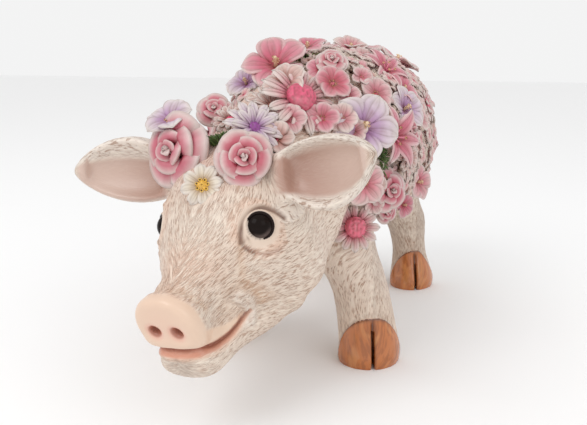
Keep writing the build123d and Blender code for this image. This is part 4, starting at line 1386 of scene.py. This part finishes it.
# Flowers that the photo shows: CAD node or none, kind, radius, the middle's place in the photo's pixels, how
# far it faces right and up there, the first petal's turn in degrees, and the middle's height over the skin
seen_flowers = [
    ("crown_rose_right", "rose", 12.6, 170, 150, -0.55, 0.05, 0, 6.0),
    ("crown_rose_left", "rose", 8.9, 244, 157, 0.05, 0.12, 40, 6.5),
    ("crown_star", "star", 7.0, 202, 185, -0.10, 0.20, 10, 2.4),
    ("crown_daisy_right", "blossom", 9.5, 168, 117, -0.35, 0.70, 0, 4),
    ("crown_rosebud", "rose", 6.6, 214, 108, 0.0, 0.40, 0, 6.0),
    ("crown_daisy_left", "daisy", 11.0, 255, 126, 0.25, 0.42, 12, 5),
    ("nape_daisy", "daisy", 10.0, 273, 106, 0.20, 0.50, 0, 4),
    ("shoulder_blossom_right", "mallow", 8.4, 245, 82, -0.35, 0.60, 20, 3.5),
    ("back_mallow", "mallow", 12.8, 275, 63, -0.15, 0.50, 36, 4.5),
    ("shoulder_daisy", "daisy", 14.5, 303, 95, 0.42, 0.45, 5, 5.0),
    ("back_rosebud", "rose", 6.0, 332, 59, 0.05, 0.55, 0, 5.0),
    ("back_blossom_left", "blossom", 7.6, 333, 82, 0.25, 0.40, 30, 4),
    ("back_blossom_top", "mallow", 8.5, 350, 47, 0.10, 0.70, 10, 3.5),
    ("back_lily", "blossom", 7.6, 364, 58, 0.30, 0.65, 20, 3),
    ("loin_lily", "lily", 10.5, 386, 70, 0.50, 0.62, 50, 3.5),
    ("back_star", "blossom", 4.6, 362, 76, 0.25, 0.45, 0, 4),
    ("shoulder_star", "blossom", 7.4, 377, 93, 0.40, 0.35, 15, 4),
    ("shoulder_blossom_left", "mallow", 12.6, 364, 127, 0.30, 0.20, 60, 5),
    ("flank_blossom_high", "mallow", 9.8, 406, 108, 0.68, 0.30, 30, 3.5),
    ("flank_lily", "lily", 12.0, 395, 137, 0.68, 0.10, 50, 4),
    ("flank_rose", "rose", 8.4, 391, 190, 0.55, -0.05, 20, 5),
    ("flank_mallow", "mallow", 8.2, 419, 182, 0.72, 0.0, 10, 4),
    ("flank_bud", "bud", 3.8, 423, 151, 0.80, 0.1, 0, 3.5),
    ("shoulder_bud", "bud", 3.6, 368, 164, 0.3, 0.1, 0, 5.0),
    ("leg_daisy", "daisy", 9.8, 356, 227, 0.15, 0.10, 0, 3.5),
    ("", "mallow", 8.0, 307, 46, -0.1, 0.80, 30, 3),
    ("", "mallow", 8.6, 364, 183, 0.30, 0.0, 25, 5),
    ("", "mallow", 8.2, 285, 82, -0.35, 0.45, 40, 4.5),
    ("", "blossom", 6.0, 353, 131, 0.1, 0.3, 25, 3),
    ("", "rose", 5.2, 388, 211, 0.55, -0.1, 25, 4),
    ("", "blossom", 5.6, 348, 95, 0.2, 0.4, 25, 4),
    ("", "blossom", 5.6, 375, 184, 0.5, 0.0, 5, 4),
    ("", "blossom", 5.0, 374, 203, 0.35, -0.1, 5, 3.5),
    ("", "blossom", 6.4, 321, 70, 0.0, 0.5, 5, 3),
    ("", "blossom", 6.4, 397, 80, 0.6, 0.45, 5, 3),
    ("", "daisy", 6.5, 230, 120, 0.0, 0.4, 5, 3),
    ("", "blossom", 6.5, 342, 118, 0.1, 0.3, 5, 3),
    ("", "blossom", 6.5, 322, 118, 0.0, 0.2, 5, 3),
    ("", "blossom", 6.5, 290, 119, 0.0, 0.3, 5, 3),
    ("", "blossom", 6.5, 277, 138, 0.0, 0.3, 5, 3),
    ("", "blossom", 6.0, 421, 118, 0.80, 0.2, 5, 5),
    ("", "mallow", 7.4, 403, 88, 0.62, 0.50, 15, 5),
    ("", "rose", 6.4, 412, 131, 0.72, 0.1, 15, 6.5),
    ("", "daisy", 7.0, 409, 157, 0.72, 0.0, 15, 6),
    ("", "blossom", 5.8, 415, 98, 0.74, 0.40, 15, 5),
    ("", "mallow", 6.2, 404, 205, 0.70, -0.2, 15, 3),
]

# Flowers that it doesn't show: CAD node, kind, share of the full size, place, which way the flower faces, and
# which way its first petal points
hidden_flowers = [
    ("loin_daisy", "daisy", 0.75, 46.7, 58.8, 100.4, 0.93, 0.03, 0.38, -0.03, 1.00, 0.00),
    ("haunch_rose_left", "rose", 0.55, 48.0, 67.2, 80.9, 1.00, 0.05, -0.03, -0.05, 1.00, 0.00),
    ("haunch_blossom_left", "blossom", 0.60, 41.7, 86.9, 97.6, 0.87, 0.35, 0.35, -0.37, 0.93, 0.00),
    ("loin_blossom", "blossom", 0.95, 17.8, 47.6, 123.9, 0.12, 0.02, 0.99, -0.52, 0.86, 0.04),
    ("rump_mallow", "mallow", 0.95, 29.0, 75.7, 118.2, 0.46, 0.16, 0.87, -0.34, 0.94, 0.00),
    ("rump_rose", "rose", 0.95, -2.6, 72.8, 119.8, -0.36, 0.13, 0.92, -0.35, -0.94, 0.00),
    ("rump_daisy", "daisy", 0.90, 12.1, 101.6, 105.9, -0.03, 0.86, 0.50, -1.00, -0.04, 0.00),
    ("shoulder_rose_right", "rose", 0.95, -18.0, -25.2, 89.9, -0.88, -0.44, 0.16, 0.45, -0.89, 0.00),
    ("flank_blossom_right", "blossom", 0.85, -20.1, -16.8, 71.8, -0.91, -0.29, -0.30, 0.16, -0.90, 0.40),
    ("flank_daisy_right", "daisy", 0.95, -20.9, 2.8, 102.5, -0.91, -0.05, 0.41, 0.06, -1.00, 0.00),
    ("flank_mallow_right", "mallow", 0.90, -25.2, 9.8, 79.6, -1.00, -0.04, -0.07, 0.01, -0.94, 0.34),
    ("loin_star_right", "star", 0.85, -11.6, 25.2, 116.0, -0.65, -0.01, 0.76, 0.02, -1.00, 0.00),
    ("loin_rose_right", "rose", 1.00, -24.3, 35.0, 95.3, -0.97, -0.02, 0.26, 0.11, -0.94, 0.33),
    ("haunch_blossom_right", "blossom", 0.95, -18.7, 60.2, 107.6, -0.83, 0.04, 0.55, -0.05, -1.00, 0.00),
    ("haunch_daisy_right", "daisy", 0.90, -25.9, 64.4, 83.5, -1.00, 0.04, 0.03, -0.04, -1.00, 0.00),
]

# What differs between flowers of one kind
flower_looks = {
    "crown_rose_right": {"inner": (0.60, 0.07, 0.14), "outer": (0.82, 0.36, 0.42)},
    "crown_rose_left": {"inner": (0.56, 0.05, 0.11), "outer": (0.80, 0.30, 0.36)},
    "crown_rosebud": {"inner": (0.66, 0.10, 0.17), "outer": (0.84, 0.44, 0.47)},
    "crown_daisy_right": {"eye": (0.36, 0.10, 0.36), "paint": pale_lilac_paint},
    "crown_daisy_left": {"eye": (0.26, 0.05, 0.28), "paint": pale_lilac_paint, "disc": 0.2},
    "nape_daisy": {"paint": brown_pink_paint, "eye": (0.36, 0.12, 0.09), "count": 15, "disc": 0.22},
    "back_mallow": {"paint": pink_paint},
    "shoulder_daisy": {"eye": (0.62, 0.09, 0.17), "count": 14, "disc": 0.4, "double": False},
    "shoulder_blossom_right": {"paint": pale_lilac_paint},
    "back_rosebud": {"inner": (0.60, 0.05, 0.12), "outer": (0.84, 0.50, 0.52)},
    "back_blossom_left": {"paint": deep_pink_paint},
    "back_blossom_top": {"paint": white_pink_paint},
    "back_lily": {"paint": white_pink_paint},
    "loin_lily": {"paint": pink_paint},
    "back_star": {"paint": pale_pink_paint},
    "shoulder_star": {"paint": pale_pink_paint, "eye": (0.56, 0.03, 0.08)},
    "shoulder_blossom_left": {"paint": pale_lilac_paint},
    "flank_blossom_high": {"paint": pale_lilac_paint},
    "flank_lily": {"paint": pink_paint},
    "flank_mallow": {"paint": pale_pink_paint},
    "loin_star_right": {"paint": pale_pink_paint, "eye": (0.60, 0.14, 0.20)},
    "leg_daisy": {"eye": (0.70, 0.14, 0.21), "count": 12, "disc": 0.44, "double": False},
    "rump_mallow": {"paint": pale_pink_paint},
    "flank_rose": {"inner": (0.56, 0.05, 0.11), "outer": (0.80, 0.34, 0.40)},
}

extra_paints = [white_pink_paint, pink_paint, pale_pink_paint, brown_pink_paint]
floret_paints = [beige_paint, pale_pink_paint, brown_pink_paint, white_pink_paint]
filler_paints = [pale_pink_paint, beige_paint, white_pink_paint, brown_pink_paint]
flower_kinds = {kind.__name__: kind for kind in (rose, bud, daisy, star, mallow, lily, blossom)}

# How deep a flower sits under its place, as a share of its radius
seat_depths = {"rose": 0.55, "bud": 0.6}
usual_seat_depth = 0.28

# Distances from the camera, near to far, at which a flower's place is looked for
sight_steps = np.arange(150, 520, 0.75)

# What a seen flower covers: a ball this share of its radius wide, this share of it below its place
cover_share, cover_depth = 0.8, 0.4

# The hidden flowers' full size and lift, and the radius that each covers
hidden_size, hidden_lift, hidden_cover = 1.3, 1.2, 11

# The CAD's florets: their size and lift in the open and under a flower, and the radius that each covers
open_floret, sunk_floret = (1, 0.4), (0.5, -1.2)
floret_cover = 3.4

# The florets between: how high on the coat they begin, one point in so many tried, the room that each needs
# and covers, and how many of them are florets rather than grains
filler_height = 66
filler_every = 5
filler_room, filler_cover = 1.6, 2.9
filler_floret_share = 0.72

# The moss ahead of this grows on the head
head_moss_ahead_of = -40


def basis_of(out, first):
    out, first = unit(out), np.array(first, float)
    first = unit(first - out * (first @ out))
    return np.stack([first, np.cross(out, first), out], axis=1)


def slot_of(kind):
    return "rose" if kind == "bud" else kind


def shell_seats(node):
    """The middle of each small CAD solid of a node."""
    points, faces = cad_arrays(node)
    pairs = np.array([[f[i], f[(i + 1) % len(f)]] for f in faces for i in range(len(f))])
    label = part_labels(len(points), pairs)
    return [points[label == k].mean(axis=0) for k in np.unique(label)]


def seen_seat(trees, x, y, height):
    """The first place on the photo's line of sight at most height over a skin, or else the nearest one."""
    ray = ray_to(x, y)
    best = None
    for t in sight_steps:
        p = camera_place + ray * t
        gap = min(tree.find_nearest(Vector(p))[3] for tree in trees)
        if best is None or gap < best[0]:
            best = (gap, p)
        if gap <= height:
            break
    return best[1]


def make_seen_flowers(trees, petals):
    """Makes the flowers that the photo shows, and returns the place and the radius that each covers."""
    ahead, right, down = camera_axes()
    covered = []
    for i, (name, kind, radius, x, y, aside, up, turn_deg, height) in enumerate(seen_flowers):
        random = np.random.default_rng(100 + i)
        looks = flower_looks.get(name, {})
        if not name and kind != "rose":
            looks = {"paint": extra_paints[i % len(extra_paints)]}
        pile = flower_kinds[kind](radius / 10, random, **looks)
        out = right * aside - down * up - ahead * math.sqrt(1 - aside**2 - up**2)
        place = seen_seat(trees, x, y, height)
        turn = math.radians(turn_deg)
        first = right * math.cos(turn) - down * math.sin(turn)
        depth = seat_depths.get(kind, usual_seat_depth)
        whole = Pile()
        whole.place(pile, basis_of(out, first), place - out * depth * radius)
        whole.make(f"{name or 'flower_' + str(i)}_petals", petals, slot_of(kind), *[name] * bool(name))
        covered.append((place - out * radius * cover_depth, radius * cover_share))
    return covered


def make_hidden_flowers(petals):
    """Makes the flowers that it doesn't show, and returns the place and the radius that each covers."""
    covered = []
    for i, (name, kind, size, *numbers) in enumerate(hidden_flowers):
        place, out, first = np.array(numbers).reshape(3, 3)
        random = np.random.default_rng(200 + i)
        pile = flower_kinds[kind](size * hidden_size, random, **flower_looks.get(name, {}))
        whole = Pile()
        whole.place(pile, basis_of(out, first), place + out * hidden_lift)
        whole.make(f"{name}_petals", petals, slot_of(kind), name)
        covered.append((place, hidden_cover * size))
    return covered


def make_florets(rough, flower_places):
    """Makes the CAD's florets, deeper where a flower covers them, and returns what they cover."""
    covered = []
    for node in ("florets_left", "florets_top", "florets_right"):
        whole = Pile()
        for i, place in enumerate(shell_seats(node)):
            random = np.random.default_rng(i)
            out = unit(place - np.array([trunk_aside, np.clip(place[1], *trunk_ends), trunk_height]))
            first = np.cross(out, random.normal(size=3))
            if i % 2:
                pile = floret(random.uniform(1.15, 1.5), random, floret_paints[i // 2 % 4])
            else:
                pile = grains(random.uniform(0.9, 1.15), random)
            under_flower = any(np.linalg.norm(place - spot) < reach for spot, reach in flower_places)
            size, lift = sunk_floret if under_flower else open_floret
            whole.place(pile, basis_of(out, first) * size, place + out * lift)
            covered.append((place, floret_cover))
        whole.make(f"{node}_shells", rough, "floret", node)
    return covered


def make_filler(skin, rough, covered):
    """Makes small florets on the coat's upper part, wherever the others leave the casting bare."""
    random = np.random.default_rng(7)
    whole = Pile()
    chosen = np.flatnonzero(coat_height(skin.points) > filler_height)
    random.shuffle(chosen)
    middles = np.array([place for place, radius in covered])
    radii = np.array([radius for place, radius in covered])
    for index in chosen[::filler_every]:
        place, out = skin.points[index], skin.normals[index]
        if (np.linalg.norm(middles - place, axis=1) < radii + filler_room).any():
            continue
        first = np.cross(out, random.normal(size=3))
        if random.uniform() < filler_floret_share:
            pile = floret(random.uniform(0.95, 1.4), random, filler_paints[len(radii) % 4])
        else:
            pile = grains(random.uniform(0.75, 1.0), random)
        whole.place(pile, basis_of(out, first), place - out * 0.2)
        middles = np.concatenate([middles, place[None]])
        radii = np.append(radii, filler_cover)
    whole.make("filler_florets", rough, "floret")


def make_moss(moss):
    """Makes the moss. Each tuft points away from the trunk's line or from the head's middle."""
    whole = Pile()
    for i, place in enumerate(shell_seats("moss_tufts")):
        random = np.random.default_rng(50 + i)
        on_trunk = place[1] > head_moss_ahead_of
        middle = np.array([trunk_aside, place[1], trunk_height]) if on_trunk else head_middle
        out = unit(place - middle)
        whole.place(tuft(random), basis_of(out, np.cross(out, (0.3, 0.9, 0.1))), place - out * 1.2)
    whole.make("moss_blades", moss, "moss", "moss_tufts")


def make_flowers(head, torso, leg):
    petals = plain_paint("petal_paint")
    moss = plain_paint("moss_paint", 0.75, 0.0, 0.15)
    rough = plain_paint("filler_paint", 0.6, 0.0, 0.15, filler_brown)
    covered = make_seen_flowers([skin.tree() for skin in (head, torso, leg)], petals)
    covered += make_hidden_flowers(petals)
    covered += make_florets(rough, covered)
    make_filler(torso, rough, covered)
    make_moss(moss)


# The stage

light_size = 0.6
light_target = Vector((0, 0, 0.06))
lights = {
    "key_light": (Vector((-0.35, -0.75, 0.85)), 3.2),
    "side_light": (Vector((0.8, -0.45, 0.6)), 1.2),
}
world_light = 0.9


def make_stage():
    scene = bpy.context.scene
    bpy.ops.mesh.primitive_plane_add(size=6, location=(0, 0, 0))
    floor = bpy.context.object
    floor.name = "floor"
    floor.data.materials.append(Graph("pale_floor").finish(floor_grey, 0.8, specular=0.1))
    scene.world = bpy.data.worlds.new("soft_light")
    scene.world.use_nodes = True
    background = scene.world.node_tree.nodes["Background"]
    background.inputs["Color"].default_value = (1, 1, 1, 1)
    background.inputs["Strength"].default_value = world_light
    for name, (place, power) in lights.items():
        light = bpy.data.lights.new(name, "AREA")
        light.size = light_size
        light.energy = power
        obj = bpy.data.objects.new(name, light)
        obj.location = place
        obj.rotation_euler = (light_target - place).to_track_quat("-Z", "Y").to_euler()
        scene.collection.objects.link(obj)
    camera = bpy.data.cameras.new("photo_camera")
    camera.sensor_width = camera_sensor
    camera.lens = camera_focal / camera_size[0] * camera_sensor
    camera.clip_start = 0.01
    obj = bpy.data.objects.new("photo_camera", camera)
    ahead, right, down = camera_axes()
    turn = Matrix((right, -down, -ahead)).transposed().to_4x4()
    turn.translation = Vector(camera_place * MM)
    obj.matrix_world = turn
    scene.collection.objects.link(obj)
    scene.camera = obj
    scene.view_settings.view_transform = "Standard"


def main():
    fur = fur_material()
    head = make_head(fur)
    make_eyes(eye_material())
    torso = make_torso(fur)
    gloss = hoof_material()
    legs = [make_leg(name, fur, gloss) for name in foot_centres]
    make_tail(fur)
    make_flowers(head, torso, legs[0])
    make_stage()


main()
